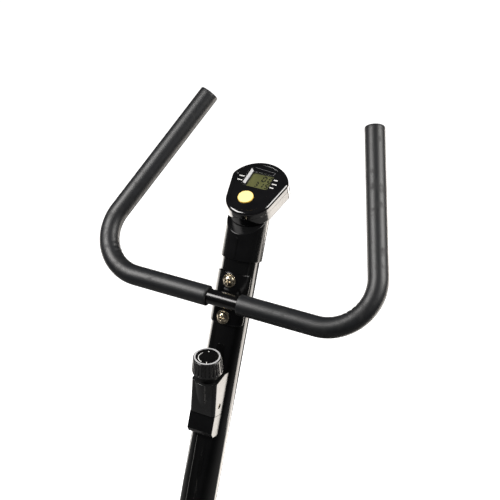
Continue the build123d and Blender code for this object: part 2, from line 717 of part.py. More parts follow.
# Foam grips, from beside the plate round the bends to the tips
for name, side in (("left_grip", -1), ("right_grip", 1)):
    with BuildPart() as grip:
        with BuildLine(bar_plane) as grip_path:
            FilletPolyline(
                (side * GRIP_START, 0), (side * BAR_HALF_WIDTH, 0), (side * tip[0], tip[1]), radius=BAR_BEND
            )
        with BuildSketch(Plane(origin=grip_path.line @ 0, z_dir=grip_path.line % 0)):
            Circle(GRIP_DIA / 2)
            Circle(BAR_DIA / 2 + FIT / 3, mode=Mode.SUBTRACT)
        sweep(path=grip_path.line)
    grip.part.label = name
    export_step(grip.part, f"parts/{name}.step")

# Plugs in the open ends of the handlebar, a little inside the foam
with BuildPart() as handlebar_end_caps:
    for side in (-1, 1):
        tip_end = bar_plane.from_local_coords((side * tube_tip[0], tube_tip[1], 0))
        arm_way = bar_plane.from_local_coords((side * tip[0], tip[1], 0)) - tip_end
        tip_plane = Plane(origin=tip_end, z_dir=arm_way.normalized())
        with BuildSketch(tip_plane):
            Circle(BAR_DIA / 2)
        extrude(amount=plug_inset - 1)
        with BuildSketch(tip_plane):
            Circle(BAR_DIA / 2 - BAR_WALL - PRESS)
        extrude(amount=-16)
handlebar_end_caps.part.label = "handlebar_end_caps"
export_step(handlebar_end_caps.part, "parts/handlebar_end_caps.step")


# The console is round at its foot, flares to two upper corners and has a domed top edge,
# each arc running smoothly into the next
flare = radians(CONSOLE_FLARE)
corner_reach = CONSOLE_TOP_RADIUS - CONSOLE_CORNER
foot_step = CONSOLE_FOOT_RADIUS - CONSOLE_CORNER + CONSOLE_CENTRES * sin(flare)
corner_turn = flare + asin(foot_step / corner_reach)
corner_x = corner_reach * sin(corner_turn)
corner_y = CONSOLE_CENTRES + corner_reach * cos(corner_turn)
corner_half = (radians(90) - corner_turn - flare) / 2


def pear(depth, inset):
    """The console's outline at a depth below its face, drawn in by an inset."""
    foot = CONSOLE_FOOT_RADIUS - inset
    corner = CONSOLE_CORNER - inset
    with BuildSketch(console_face.offset(-depth)) as outline:
        with BuildLine():
            foot_ends = [(side * foot * cos(flare), -foot * sin(flare)) for side in (-1, 1)]
            ThreePointArc(foot_ends[0], (0, -foot), foot_ends[1])
            top_ends = []
            for side, foot_end in zip((-1, 1), foot_ends):
                low, middle, high = [
                    (side * (corner_x + corner * cos(turn)), corner_y + corner * sin(turn))
                    for turn in (-flare, corner_half, radians(90) - corner_turn)
                ]
                Line(foot_end, low)
                ThreePointArc(low, middle, high)
                top_ends.append(high)
            ThreePointArc(top_ends[0], (0, CONSOLE_CENTRES + CONSOLE_TOP_RADIUS - inset), top_ends[1])
        make_face()
    return outline.sketch


console_screw_places = [(-27, 0), (27, 0), (-24, CONSOLE_CENTRES + 36), (24, CONSOLE_CENTRES + 36)]
board_depth = 8.5
board_thick = 1.6
battery_y = WINDOW_Y - 1.5
cover_size = (BATTERY_LENGTH + 8, 2 * BATTERY_DIA + 8)

# Front shell of the console: rounded rim, sunk face, window and button openings
with BuildPart() as console_front:
    extrude(pear(0, 0), amount=-CONSOLE_SPLIT)
    rim = console_front.faces().sort_by(Axis(console_face.origin, console_face.z_dir))[-1]
    fillet(rim.edges(), radius=CONSOLE_ROUND)
    extrude(pear(CONSOLE_WALL, CONSOLE_WALL), amount=-CONSOLE_SPLIT, mode=Mode.SUBTRACT)
    with BuildSketch(console_face.offset(-CONSOLE_SPLIT)):
        with Locations(*console_screw_places):
            Circle(4)
    extrude(amount=CONSOLE_SPLIT - CONSOLE_WALL + 0.5)
    extrude(pear(-1, 8), amount=-1.7, mode=Mode.SUBTRACT)
    with BuildSketch(console_face.offset(1)):
        with Locations((WINDOW_X, WINDOW_Y)):
            RectangleRounded(WINDOW_WIDTH, WINDOW_HEIGHT, 3)
        with Locations((BUTTON_X, BUTTON_Y)):
            Circle(BUTTON_DIA / 2 + FIT)
    extrude(amount=-2 * CONSOLE_WALL, mode=Mode.SUBTRACT)
    with BuildSketch(console_face.offset(-CONSOLE_SPLIT)):
        with Locations(*console_screw_places):
            Circle(1.5 + PRESS)
    extrude(amount=CONSOLE_SPLIT - 4, mode=Mode.SUBTRACT)
console_front.part.label = "console_front"
export_step(console_front.part, "parts/console_front.step")

# Back shell of the console, open where the battery cover fits
with BuildPart() as console_back:
    extrude(pear(CONSOLE_SPLIT + FIT / 3, 0), amount=-(CONSOLE_THICK - CONSOLE_SPLIT - FIT / 3))
    base = console_back.faces().sort_by(Axis(console_face.origin, console_face.z_dir))[0]
    fillet(base.edges(), radius=CONSOLE_WALL)
    cavity = CONSOLE_THICK - CONSOLE_WALL - CONSOLE_SPLIT
    extrude(pear(CONSOLE_SPLIT, CONSOLE_WALL), amount=-cavity, mode=Mode.SUBTRACT)
    with BuildSketch(console_face.offset(-CONSOLE_THICK + CONSOLE_WALL / 2)):
        with Locations(*console_screw_places):
            Circle(4)
    extrude(amount=cavity + CONSOLE_WALL / 2 - FIT)
    with BuildSketch(console_face.offset(-CONSOLE_THICK - 1)):
        with Locations((0, battery_y)):
            RectangleRounded(cover_size[0] + 2 * FIT, cover_size[1] + 2 * FIT, 3)
    extrude(amount=CONSOLE_WALL + 2, mode=Mode.SUBTRACT)
    with BuildSketch(console_face.offset(-CONSOLE_THICK - 1)):
        with Locations(*console_screw_places):
            Circle(1.5 + HOLE_CLEARANCE)
    extrude(amount=CONSOLE_THICK, mode=Mode.SUBTRACT)
    with BuildSketch(console_face.offset(-CONSOLE_THICK - 1)):
        with Locations(*console_screw_places):
            Circle(3.3)
    extrude(amount=6, mode=Mode.SUBTRACT)
console_back.part.label = "console_back"
export_step(console_back.part, "parts/console_back.step")

# Battery cover, flush with the underside
with BuildPart() as battery_cover:
    with BuildSketch(console_face.offset(-CONSOLE_THICK)):
        with Locations((0, battery_y)):
            RectangleRounded(cover_size[0], cover_size[1], 3)
    extrude(amount=CONSOLE_WALL)
battery_cover.part.label = "battery_cover"
export_step(battery_cover.part, "parts/battery_cover.step")

# Two cells, lying across the console on the cover
with BuildPart() as batteries:
    cell_depth = CONSOLE_THICK - CONSOLE_WALL - FIT - BATTERY_DIA / 2
    for row in (-1, 1):
        place = console_face.from_local_coords((0, battery_y + row * (BATTERY_DIA / 2 + FIT), -cell_depth))
        with Locations(Plane(place, x_dir=(0, 1, 0), z_dir=(row, 0, 0))):
            Cylinder(BATTERY_DIA / 2, BATTERY_LENGTH - 2)
            with Locations((0, 0, BATTERY_LENGTH / 2)):
                Cylinder(2.7, 2)
batteries.part.label = "batteries"
export_step(batteries.part, "parts/batteries.step")

# Clear window, flanged behind the face
with BuildPart() as console_window:
    with BuildSketch(console_face.offset(-CONSOLE_WALL - FIT / 3)):
        with Locations((WINDOW_X, WINDOW_Y)):
            RectangleRounded(WINDOW_WIDTH - 2 * FIT, WINDOW_HEIGHT - 2 * FIT, 2.7)
    extrude(amount=CONSOLE_WALL - 1)
    with BuildSketch(console_face.offset(-CONSOLE_WALL - FIT / 3)):
        with Locations((WINDOW_X, WINDOW_Y)):
            RectangleRounded(WINDOW_WIDTH + 3, WINDOW_HEIGHT + 3, 4)
    extrude(amount=-1.2)
console_window.part.label = "console_window"
export_step(console_window.part, "parts/console_window.step")

# Display module between the window and the board
display_top = CONSOLE_WALL + FIT / 3 + 1.2 + FIT
with BuildPart() as console_display:
    with BuildSketch(console_face.offset(-display_top)):
        with Locations((WINDOW_X + 5, WINDOW_Y)):
            Rectangle(40, 31)
    extrude(amount=-(board_depth - FIT - display_top))
console_display.part.label = "console_display"
export_step(console_display.part, "parts/console_display.step")

# Circuit board, held by the case bosses that pass through it
with BuildPart() as console_board:
    extrude(pear(board_depth, CONSOLE_WALL + 1), amount=-board_thick)
    with BuildSketch(console_face.offset(-board_depth + 1)):
        with Locations(*console_screw_places):
            Circle(4 + FIT)
    extrude(amount=-board_thick - 2, mode=Mode.SUBTRACT)
console_board.part.label = "console_board"
export_step(console_board.part, "parts/console_board.step")

# Mode button: a shallow dome with a flange behind the face
crown = dome_middle(BUTTON_DIA / 2, 2)
button_middle = console_face.from_local_coords((BUTTON_X, BUTTON_Y, 0))
with BuildPart() as mode_button:
    with BuildSketch(Plane(button_middle, x_dir=(1, 0, 0), z_dir=-console_face.y_dir)):
        with BuildLine():
            Polyline(
                (0, 3),
                (0, -board_depth + BUTTON_TRAVEL + 0.6),
                (4, -board_depth + BUTTON_TRAVEL + 0.6),
                (4, -CONSOLE_WALL - FIT - 1.6),
                (BUTTON_DIA / 2 + 1.8, -CONSOLE_WALL - FIT - 1.6),
                (BUTTON_DIA / 2 + 1.8, -CONSOLE_WALL - FIT),
                (BUTTON_DIA / 2, -CONSOLE_WALL - FIT),
                (BUTTON_DIA / 2, 1),
            )
            ThreePointArc((BUTTON_DIA / 2, 1), (crown[0], 1 + crown[1]), (0, 3))
        make_face()
    revolve(axis=Axis(button_middle, console_face.z_dir))
mode_button.part.label = "mode_button"
export_step(mode_button.part, "parts/mode_button.step")

# Console bracket: a collar over the mast top, cut off level with the console's underside,
# hollow above the mast, and cut back behind to leave the battery cover free
collar_bore = MAST_DIA / 2 + FIT / 2
console_seat = console_face.offset(-CONSOLE_THICK - FIT / 3)
clear_of_cover = battery_y - cover_size[1] / 2 - 2
with BuildPart() as collar_hollow:
    with BuildSketch(along_mast(MAST_TOP)):
        Circle(collar_bore - COLLAR_WALL - 1)
    extrude(amount=CONSOLE_UP)
    split(bisect_by=console_seat.offset(-COLLAR_WALL), keep=Keep.BOTTOM)
with BuildPart() as console_bracket:
    with BuildSketch(along_mast(COLLAR_BOTTOM)):
        Circle(collar_bore + COLLAR_WALL)
    extrude(amount=CONSOLE_UP)
    split(bisect_by=console_seat, keep=Keep.BOTTOM)
    seat_rim = console_bracket.faces().sort_by(Axis(console_face.origin, console_face.z_dir))[-1]
    fillet(seat_rim.edges(), radius=COLLAR_ROUND)
    with BuildSketch(facing_rider(COLLAR_BOTTOM + 19)):
        RectangleRounded(4, 34, 1.9)
    extrude(amount=collar_bore + COLLAR_WALL + 0.8)
    with BuildSketch(along_mast(COLLAR_BOTTOM - 1)):
        Circle(collar_bore)
    extrude(amount=MAST_TOP + FIT - COLLAR_BOTTOM + 1, mode=Mode.SUBTRACT)
    add(collar_hollow.part, mode=Mode.SUBTRACT)
    with BuildSketch(along_mast(MAST_TOP, 12)):
        Circle(6)
    extrude(amount=CONSOLE_UP, mode=Mode.SUBTRACT)
    cover_side = console_face.from_local_coords((0, clear_of_cover, 0))
    split(bisect_by=Plane(cover_side, x_dir=(1, 0, 0), z_dir=console_face.y_dir), keep=Keep.BOTTOM)
console_bracket.part.label = "console_bracket"
export_step(console_bracket.part, "parts/console_bracket.step")

# Tension housing: a wedge on the mast with a level seat under the knob, and a round boss under
# the seat that the front runs into lower down
knob_gap = KNOB_NECK + 0.6
seat_out = KNOB_OUT - knob_gap * sin(lean)
seat_up = KNOB_UP - knob_gap * cos(lean)
front_top = (seat_out + HOUSING_FRONT * cos(lean), seat_up - HOUSING_FRONT * sin(lean))
shoulder_up = seat_up + (seat_out - HOUSING_SHOULDER) * tan(lean)
spindle_dia = 8.0
spindle_length = 20.0
boss_height = 50.0
seat_edge = 0.8
tension_screw_place = (35.0, -174.0)
with BuildPart() as seat_boss:
    with BuildSketch(knob_plane.offset(-knob_gap)):
        Circle(HOUSING_WIDTH / 2 - FIT)
    extrude(amount=-boss_height)
    fillet(seat_boss.edges().group_by(Axis.Z)[-1], radius=seat_edge)
with BuildPart() as tension_housing:
    with BuildSketch(beside_mast(0, HOUSING_WIDTH / 2)):
        with BuildLine():
            Polyline(
                (0, shoulder_up),
                (HOUSING_SHOULDER, shoulder_up),
                front_top,
                (HOUSING_FOOT_OUT, HOUSING_FOOT),
                (0, HOUSING_FOOT),
                close=True,
            )
        make_face()
    extrude(amount=HOUSING_WIDTH)
    front_edge = sqrt((front_top[0] - HOUSING_FOOT_OUT) ** 2 + (front_top[1] - HOUSING_FOOT) ** 2)
    front_edges = tension_housing.edges().filter_by(lambda edge: abs(edge.length - front_edge) < 0.01)
    fillet(front_edges, radius=HOUSING_ROUND)
    add(seat_boss.part)
    with BuildSketch(along_mast(HOUSING_FOOT - 10)):
        Circle(MAST_DIA / 2 + FIT)
    extrude(amount=200, mode=Mode.SUBTRACT)
    with BuildSketch(knob_plane):
        Circle(spindle_dia / 2 + RUNNING)
    extrude(amount=-spindle_length - 3, mode=Mode.SUBTRACT)
    with BuildSketch(beside_mast(0, 9)):
        with BuildLine():
            Polyline((20, -152), (46, -152), (41, -187), (20, -187), close=True)
        make_face()
    extrude(amount=18, mode=Mode.SUBTRACT)
    for side in (-1, 1):
        with BuildSketch(beside_mast(0, side * (HOUSING_WIDTH / 2 + 1))):
            with Locations(tension_screw_place):
                Circle(4.2)
        extrude(amount=side * 3.5, mode=Mode.SUBTRACT)
        with BuildSketch(beside_mast(0, side * HOUSING_WIDTH / 2)):
            with Locations(tension_screw_place):
                Circle(1.5 + PRESS)
        extrude(amount=side * 10.5, mode=Mode.SUBTRACT)
tension_housing.part.label = "tension_housing"
export_step(tension_housing.part, "parts/tension_housing.step")

# Lower cover of the tension control, where the cable enters the mast
with BuildPart() as tension_lower_cover:
    with BuildSketch(beside_mast(0, HOUSING_WIDTH / 2)):
        with BuildLine():
            Polyline(
                (0, HOUSING_FOOT - FIT),
                (LOWER_COVER_OUT, HOUSING_FOOT - FIT),
                (LOWER_COVER_OUT, LOWER_COVER_FOOT + 7),
                (LOWER_COVER_OUT - 7, LOWER_COVER_FOOT),
                (0, LOWER_COVER_FOOT),
                close=True,
            )
        make_face()
    extrude(amount=HOUSING_WIDTH)
    with BuildSketch(along_mast(LOWER_COVER_FOOT - 10)):
        Circle(MAST_DIA / 2 + FIT)
    extrude(amount=100, mode=Mode.SUBTRACT)
tension_lower_cover.part.label = "tension_lower_cover"
export_step(tension_lower_cover.part, "parts/tension_lower_cover.step")

# Tension knob: tapered, fluted, dished on top for the dial, with its neck and spindle
flute_count = 26
flute_dia = 3.4
flute_foot = 4.0
flute_out = KNOB_FOOT_DIA / 2 + 0.5
knob_taper = (KNOB_FOOT_DIA - KNOB_TOP_DIA) / 2 / (KNOB_HEIGHT - 3)
dial_depth = 2.0
dial_dia = KNOB_TOP_DIA - 3
with BuildPart() as tension_knob:
    with BuildSketch(Plane(knob_plane.origin, x_dir=(1, 0, 0), z_dir=(0, -1, 0))):
        with BuildLine():
            Polyline(
                (0, -KNOB_NECK),
                (KNOB_NECK_DIA / 2, -KNOB_NECK),
                (KNOB_NECK_DIA / 2, 0),
                (KNOB_FOOT_DIA / 2, 0),
                (KNOB_FOOT_DIA / 2, 3),
                (KNOB_TOP_DIA / 2, KNOB_HEIGHT),
                (dial_dia / 2, KNOB_HEIGHT),
                (dial_dia / 2, KNOB_HEIGHT - dial_depth),
                (0, KNOB_HEIGHT - dial_depth),
                close=True,
            )
        make_face()
    revolve(axis=Axis(knob_plane.origin, (0, 0, 1)))
    with BuildSketch(knob_plane):
        Circle(spindle_dia / 2)
    extrude(amount=-spindle_length)
    for turn in range(flute_count):
        around = radians(360 * turn / flute_count)
        foot = knob_plane.from_local_coords((flute_out * cos(around), flute_out * sin(around), flute_foot))
        way = (-knob_taper * cos(around), -knob_taper * sin(around), 1)
        with Locations(Plane(foot, z_dir=way)):
            Cylinder(
                flute_dia / 2,
                KNOB_HEIGHT - 2 * flute_foot,
                align=(Align.CENTER, Align.CENTER, Align.MIN),
                mode=Mode.SUBTRACT,
            )
tension_knob.part.label = "tension_knob"
export_step(tension_knob.part, "parts/tension_knob.step")

# Dial disc in the top of the knob
with BuildPart() as tension_dial:
    with BuildSketch(knob_plane.offset(KNOB_HEIGHT - dial_depth + PRESS)):
        Circle(dial_dia / 2 - PRESS)
    extrude(amount=dial_depth - PRESS + 0.4)
    fillet(tension_dial.edges().group_by(Axis.Z)[-1], radius=0.3)
tension_dial.part.label = "tension_dial"
export_step(tension_dial.part, "parts/tension_dial.step")

# Tension cable: from the control, down inside the mast, out of the head tube to its stop
arm_end_angle = radians(118)
cable_start = mast_point(-158, 37)
cable_in = mast_point(-240, 0)
cable_turn = (0, head_y(cable_exit_z), cable_exit_z)
cable_end = (0, flywheel_y + (magnet_radius + 12) * cos(arm_end_angle) - 40, cable_exit_z)
with BuildPart() as tension_cable:
    with BuildLine() as cable_path:
        FilletPolyline(cable_start, cable_in, cable_turn, cable_end, radius=(60, CABLE_BEND))
    with BuildSketch(Plane(origin=cable_path.line @ 0, z_dir=cable_path.line % 0)):
        Circle(CABLE_DIA / 2)
    sweep(path=cable_path.line)
tension_cable.part.label = "tension_cable"
export_step(tension_cable.part, "parts/tension_cable.step")

# Seat bush: a plastic liner in the top of the seat tube, with a collar over its end
bush_collar = 10.0
bush_depth = 90.0
with BuildPart() as seat_bush:
    with BuildSketch(seat_square(SEAT_TUBE_LENGTH - bush_depth)):
        Circle(SEAT_TUBE_DIA / 2 - TUBE_WALL - FIT / 3)
    extrude(amount=bush_depth + bush_collar)
    with BuildSketch(seat_square(SEAT_TUBE_LENGTH + FIT / 3)):
        Circle(SEAT_TUBE_DIA / 2 + 3)
    extrude(amount=bush_collar)
    collar_rim = seat_bush.edges().filter_by(GeomType.CIRCLE).sort_by(
        Axis(seat_plane.origin, seat_plane.z_dir)
    )[-1]
    fillet(collar_rim, radius=3)
    with BuildSketch(seat_square(SEAT_TUBE_LENGTH - bush_depth - 1)):
        Circle(SEAT_POST_DIA / 2 + RUNNING)
    extrude(amount=bush_depth + bush_collar + 4, mode=Mode.SUBTRACT)
    with BuildSketch(seat_rear(seat_pin_up)):
        Circle(SEAT_PIN_DIA / 2 + FIT)
    extrude(amount=SEAT_TUBE_DIA, mode=Mode.SUBTRACT)
seat_bush.part.label = "seat_bush"
export_step(seat_bush.part, "parts/seat_bush.step")

# Seat post: a tube with a row of height holes, and a level plate welded on top
post_foot = seat_post_top - SEAT_POST_LENGTH
plate_y = head_y(SEAT_JOIN_Z) - tan(seat_lean) * (plate_bottom - SEAT_JOIN_Z)
plate_length = 120.0
plate_width = 66.0
saddle_bolt_places = [(0, plate_y + 45), (-20, plate_y - 42), (20, plate_y - 42)]
with BuildPart() as seat_post:
    with BuildSketch(seat_square(post_foot)):
        Circle(SEAT_POST_DIA / 2)
    extrude(amount=SEAT_POST_LENGTH + SEAT_POST_DIA)
    with Locations((0, plate_y, plate_bottom + SEAT_POST_DIA + 1)):
        Box(plate_width * 3, plate_length * 2, 2 * SEAT_POST_DIA, mode=Mode.SUBTRACT)
    with BuildSketch(Plane.XY.offset(plate_bottom)):
        with Locations((0, plate_y)):
            RectangleRounded(plate_width, plate_length, 12)
        with Locations(*saddle_bolt_places):
            Circle(3 + HOLE_CLEARANCE, mode=Mode.SUBTRACT)
    extrude(amount=SEAT_PLATE_THICK)
    with BuildSketch(seat_square(post_foot - 1)):
        Circle(SEAT_POST_DIA / 2 - TUBE_WALL)
    extrude(amount=SEAT_POST_LENGTH - SEAT_POST_DIA / 2, mode=Mode.SUBTRACT)
    for step in range(-SEAT_STEPS_DOWN, SEAT_STEPS_UP + 1):
        with BuildSketch(seat_rear(seat_pin_up - step * SEAT_STEP)):
            Circle(SEAT_PIN_DIA / 2 + FIT)
        extrude(amount=SEAT_POST_DIA, mode=Mode.SUBTRACT)
seat_post.part.label = "seat_post"
export_step(seat_post.part, "parts/seat_post.step")

# Seat pin: a pull knob on a steel pin that drops into a height hole
knob_start = pin_boss_out + 2
with BuildPart() as seat_pin:
    with BuildSketch(seat_rear(seat_pin_up, SEAT_POST_DIA / 2 - 5)):
        Circle(SEAT_PIN_DIA / 2)
    extrude(amount=knob_start - SEAT_POST_DIA / 2 + 6)
    with BuildSketch(seat_rear(seat_pin_up, knob_start)):
        Circle(13)
    extrude(amount=10)
    with BuildSketch(seat_rear(seat_pin_up, knob_start + 9)):
        Circle(22)
    extrude(amount=20)
    knob_rims = seat_pin.edges().filter_by(GeomType.CIRCLE).filter_by(lambda edge: edge.radius > 21)
    fillet(knob_rims, radius=5)
    with Locations(seat_rear(seat_pin_up, knob_start + 19)):
        with PolarLocations(24.5, 6):
            Cylinder(5.5, 24, mode=Mode.SUBTRACT)
seat_pin.part.label = "seat_pin"
export_step(seat_pin.part, "parts/seat_pin.step")

# Stations of the saddle from back to nose: share of its length, of its half width, of its height
saddle_back = saddle_y - 0.52 * SADDLE_LENGTH
saddle_stations = (
    (0.00, 0.50, 0.48),
    (0.07, 0.82, 0.84),
    (0.24, 1.00, 1.00),
    (0.42, 0.90, 0.97),
    (0.60, 0.56, 0.88),
    (0.78, 0.36, 0.82),
    (0.94, 0.29, 0.70),
    (1.00, 0.19, 0.42),
)


def saddle_half(share):
    """Half the width of the saddle where it has this share of its full width."""
    nose = SADDLE_NOSE / 2
    full = SADDLE_WIDTH / 2
    least = 0.29
    return nose + (full - nose) * (share - least) / (1 - least)


# Saddle pad: crowned on top, its sides drawn in to the shell below
with BuildPart() as saddle_pad:
    for along, wide, high in saddle_stations:
        half = saddle_half(wide)
        height = PAD_HEIGHT * high
        station = Plane(
            origin=(0, saddle_back + along * SADDLE_LENGTH, pad_bottom), x_dir=(1, 0, 0), z_dir=(0, -1, 0)
        )
        with BuildSketch(station):
            with BuildLine():
                Line((-0.9 * half, 0), (0.9 * half, 0))
                ThreePointArc((0.9 * half, 0), (half, 0.36 * height), (0.8 * half, 0.78 * height))
                ThreePointArc((0.8 * half, 0.78 * height), (0, height), (-0.8 * half, 0.78 * height))
                ThreePointArc((-0.8 * half, 0.78 * height), (-half, 0.36 * height), (-0.9 * half, 0))
            make_face()
    loft()
saddle_pad.part.label = "saddle_pad"
export_step(saddle_pad.part, "parts/saddle_pad.step")

# Saddle shell: the moulded base under the pad, tapering down to the seat post plate
with BuildPart() as saddle_shell:
    for along, wide, high in saddle_stations[1:-1]:
        half = saddle_half(wide)
        station = Plane(
            origin=(0, saddle_back + along * SADDLE_LENGTH, shell_bottom), x_dir=(1, 0, 0), z_dir=(0, -1, 0)
        )
        with BuildSketch(station):
            with BuildLine():
                Polyline(
                    (-0.74 * half, 0),
                    (0.74 * half, 0),
                    (0.93 * half, SHELL_HEIGHT),
                    (-0.93 * half, SHELL_HEIGHT),
                    close=True,
                )
            make_face()
    loft()
    with BuildSketch(Plane.XY.offset(shell_bottom - 1)):
        with Locations(*saddle_bolt_places):
            Circle(3 + PRESS)
    extrude(amount=SHELL_HEIGHT - 1, mode=Mode.SUBTRACT)
saddle_shell.part.label = "saddle_shell"
export_step(saddle_shell.part, "parts/saddle_shell.step")

# Saddle bolts, up through the plate into the shell
with BuildPart() as saddle_bolts:
    with BuildSketch(Plane.XY.offset(plate_bottom)):
        with Locations(*saddle_bolt_places):
            RegularPolygon(5.8, 6)
    extrude(amount=-4.5)
    with BuildSketch(Plane.XY.offset(plate_bottom)):
        with Locations(*saddle_bolt_places):
            Circle(3)
    extrude(amount=SEAT_PLATE_THICK + SHELL_HEIGHT - 3)
saddle_bolts.part.label = "saddle_bolts"
export_step(saddle_bolts.part, "parts/saddle_bolts.step")

# Crank bearings, pressed into both ends of the crank shell
with BuildPart() as crank_bearings:
    for side in (-1, 1):
        with Locations((side * (SHELL_WIDTH - BEARING_WIDTH) / 2, crank_y, CRANK_Z)):
            Cylinder(BEARING_DIA / 2, BEARING_WIDTH, rotation=(0, 90, 0))
            Cylinder(AXLE_DIA / 2 + RUNNING, BEARING_WIDTH, rotation=(0, 90, 0), mode=Mode.SUBTRACT)
crank_bearings.part.label = "crank_bearings"
export_step(crank_bearings.part, "parts/crank_bearings.step")

# Crank axle: round through the shell, square where the cranks sit
axle_square = 12.7
crank_outer = crank_x + CRANK_THICK
with BuildPart() as crank_axle:
    with Locations((0, crank_y, CRANK_Z)):
        Cylinder(AXLE_DIA / 2, 2 * crank_x - 1, rotation=(0, 90, 0))
    for side in (-1, 1):
        with Locations((side * (crank_x + CRANK_THICK / 2 - 2), crank_y, CRANK_Z)):
            Box(CRANK_THICK, axle_square, axle_square)
    with Locations((0, crank_y, CRANK_Z)):
        Cylinder(4 + PRESS, 2 * crank_outer, rotation=(0, 90, 0), mode=Mode.SUBTRACT)
        Cylinder(AXLE_DIA / 2 - 3, 2 * crank_x - 14, rotation=(0, 90, 0))
crank_axle.part.label = "crank_axle"
export_step(crank_axle.part, "parts/crank_axle.step")

# Cranks: tapered forged arms, the right one forward and the left one back
for name, side in (("left_crank", -1), ("right_crank", 1)):
    with BuildPart() as crank:
        with BuildSketch(side_view(side * crank_x)):
            with Locations((crank_y, CRANK_Z)):
                Circle(18)
            with Locations((crank_y + side * CRANK_LENGTH, CRANK_Z)):
                Circle(13)
            make_hull()
        extrude(amount=side * CRANK_THICK)
        outer_face = crank.faces().sort_by(Axis.X)[-1 if side > 0 else 0]
        fillet(outer_face.edges(), radius=4)
        with Locations((side * crank_outer, crank_y, CRANK_Z)):
            Box(4 * CRANK_THICK, axle_square + 2 * PRESS, axle_square + 2 * PRESS, mode=Mode.SUBTRACT)
        with Locations((side * crank_outer, crank_y + side * CRANK_LENGTH, CRANK_Z)):
            Cylinder(
                PEDAL_SPINDLE_DIA / 2 + PRESS, 4 * CRANK_THICK, rotation=(0, 90, 0), mode=Mode.SUBTRACT
            )
    crank.part.label = name
    export_step(crank.part, f"parts/{name}.step")

# Crank bolts with flanged heads
with BuildPart() as crank_bolts:
    for side in (-1, 1):
        end = Plane((side * crank_outer, crank_y, CRANK_Z), x_dir=(0, 1, 0), z_dir=(side, 0, 0))
        pan_screw(end, 20, 6, 8, 18)
crank_bolts.part.label = "crank_bolts"
export_step(crank_bolts.part, "parts/crank_bolts.step")

# Pedal spindles, screwed into the crank ends
spindle_reach = PEDAL_LENGTH - 12
with BuildPart() as pedal_spindles:
    for side in (-1, 1):
        with BuildSketch(side_view(side * (crank_x + 0.5))):
            with Locations((crank_y + side * CRANK_LENGTH, CRANK_Z)):
                Circle(PEDAL_SPINDLE_DIA / 2)
        extrude(amount=side * (pedal_x + spindle_reach - crank_x - 0.5))
        with BuildSketch(side_view(side * (crank_outer + FIT / 3))):
            with Locations((crank_y + side * CRANK_LENGTH, CRANK_Z)):
                RegularPolygon(9, 6)
        extrude(amount=side * 6)
pedal_spindles.part.label = "pedal_spindles"
export_step(pedal_spindles.part, "parts/pedal_spindles.step")

# Pedals: a moulded tread with a bar on each edge and the spindle tube through the middle,
# hung a little low so that it stays level, and the strap over the foot
window_depth = (PEDAL_DEPTH - 28) / 2 - 9
for side_name, side in (("left", -1), ("right", 1)):
    pedal_y = crank_y + side * CRANK_LENGTH
    pedal_middle = side * (pedal_x + PEDAL_LENGTH / 2)
    pedal_low = CRANK_Z - PEDAL_DROP - PEDAL_HEIGHT / 2
    with BuildPart() as pedal:
        with BuildSketch(Plane.XY.offset(pedal_low)):
            with Locations((pedal_middle, pedal_y)):
                RectangleRounded(PEDAL_LENGTH, PEDAL_DEPTH, 12)
        extrude(amount=PEDAL_HEIGHT)
        fillet(pedal.edges().group_by(Axis.Z)[-1] + pedal.edges().group_by(Axis.Z)[0], radius=2.5)
        with BuildSketch(Plane.XY.offset(pedal_low - 1)):
            for way in (-1, 1):
                with Locations((pedal_middle, pedal_y + way * (14 + window_depth / 2))):
                    with GridLocations((PEDAL_LENGTH - 24) / 3, 1, 3, 1):
                        RectangleRounded((PEDAL_LENGTH - 24) / 3 - 5, window_depth, 3)
        extrude(amount=PEDAL_HEIGHT + 2, mode=Mode.SUBTRACT)
        with BuildSketch(side_view(side * (pedal_x - 1))):
            with Locations((pedal_y, CRANK_Z)):
                Circle(PEDAL_SPINDLE_DIA / 2 + RUNNING)
        extrude(amount=side * (spindle_reach + 1 + FIT), mode=Mode.SUBTRACT)
    pedal.part.label = f"{side_name}_pedal"
    export_step(pedal.part, f"parts/{side_name}_pedal.step")

    strap_half = PEDAL_LENGTH / 2 + FIT / 3
    strap_foot = CRANK_Z - 6 - (pedal_low + PEDAL_HEIGHT)
    with BuildPart() as strap:
        strap_plane = Plane(
            (pedal_middle, pedal_y + STRAP_AHEAD + STRAP_WIDTH / 2, pedal_low + PEDAL_HEIGHT),
            x_dir=(1, 0, 0),
            z_dir=(0, -1, 0),
        )
        with BuildSketch(strap_plane):
            with BuildLine():
                outer_half = strap_half + STRAP_THICK
                Line((-strap_half, strap_foot), (-outer_half, strap_foot))
                Line((-outer_half, strap_foot), (-outer_half, 0))
                ThreePointArc((-outer_half, 0), (0, STRAP_RISE), (outer_half, 0))
                Line((outer_half, 0), (outer_half, strap_foot))
                Line((outer_half, strap_foot), (strap_half, strap_foot))
                Line((strap_half, strap_foot), (strap_half, 0))
                ThreePointArc((strap_half, 0), (0, STRAP_RISE - STRAP_THICK), (-strap_half, 0))
                Line((-strap_half, 0), (-strap_half, strap_foot))
            make_face()
        extrude(amount=STRAP_WIDTH)
    strap.part.label = f"{side_name}_pedal_strap"
    export_step(strap.part, f"parts/{side_name}_pedal_strap.step")

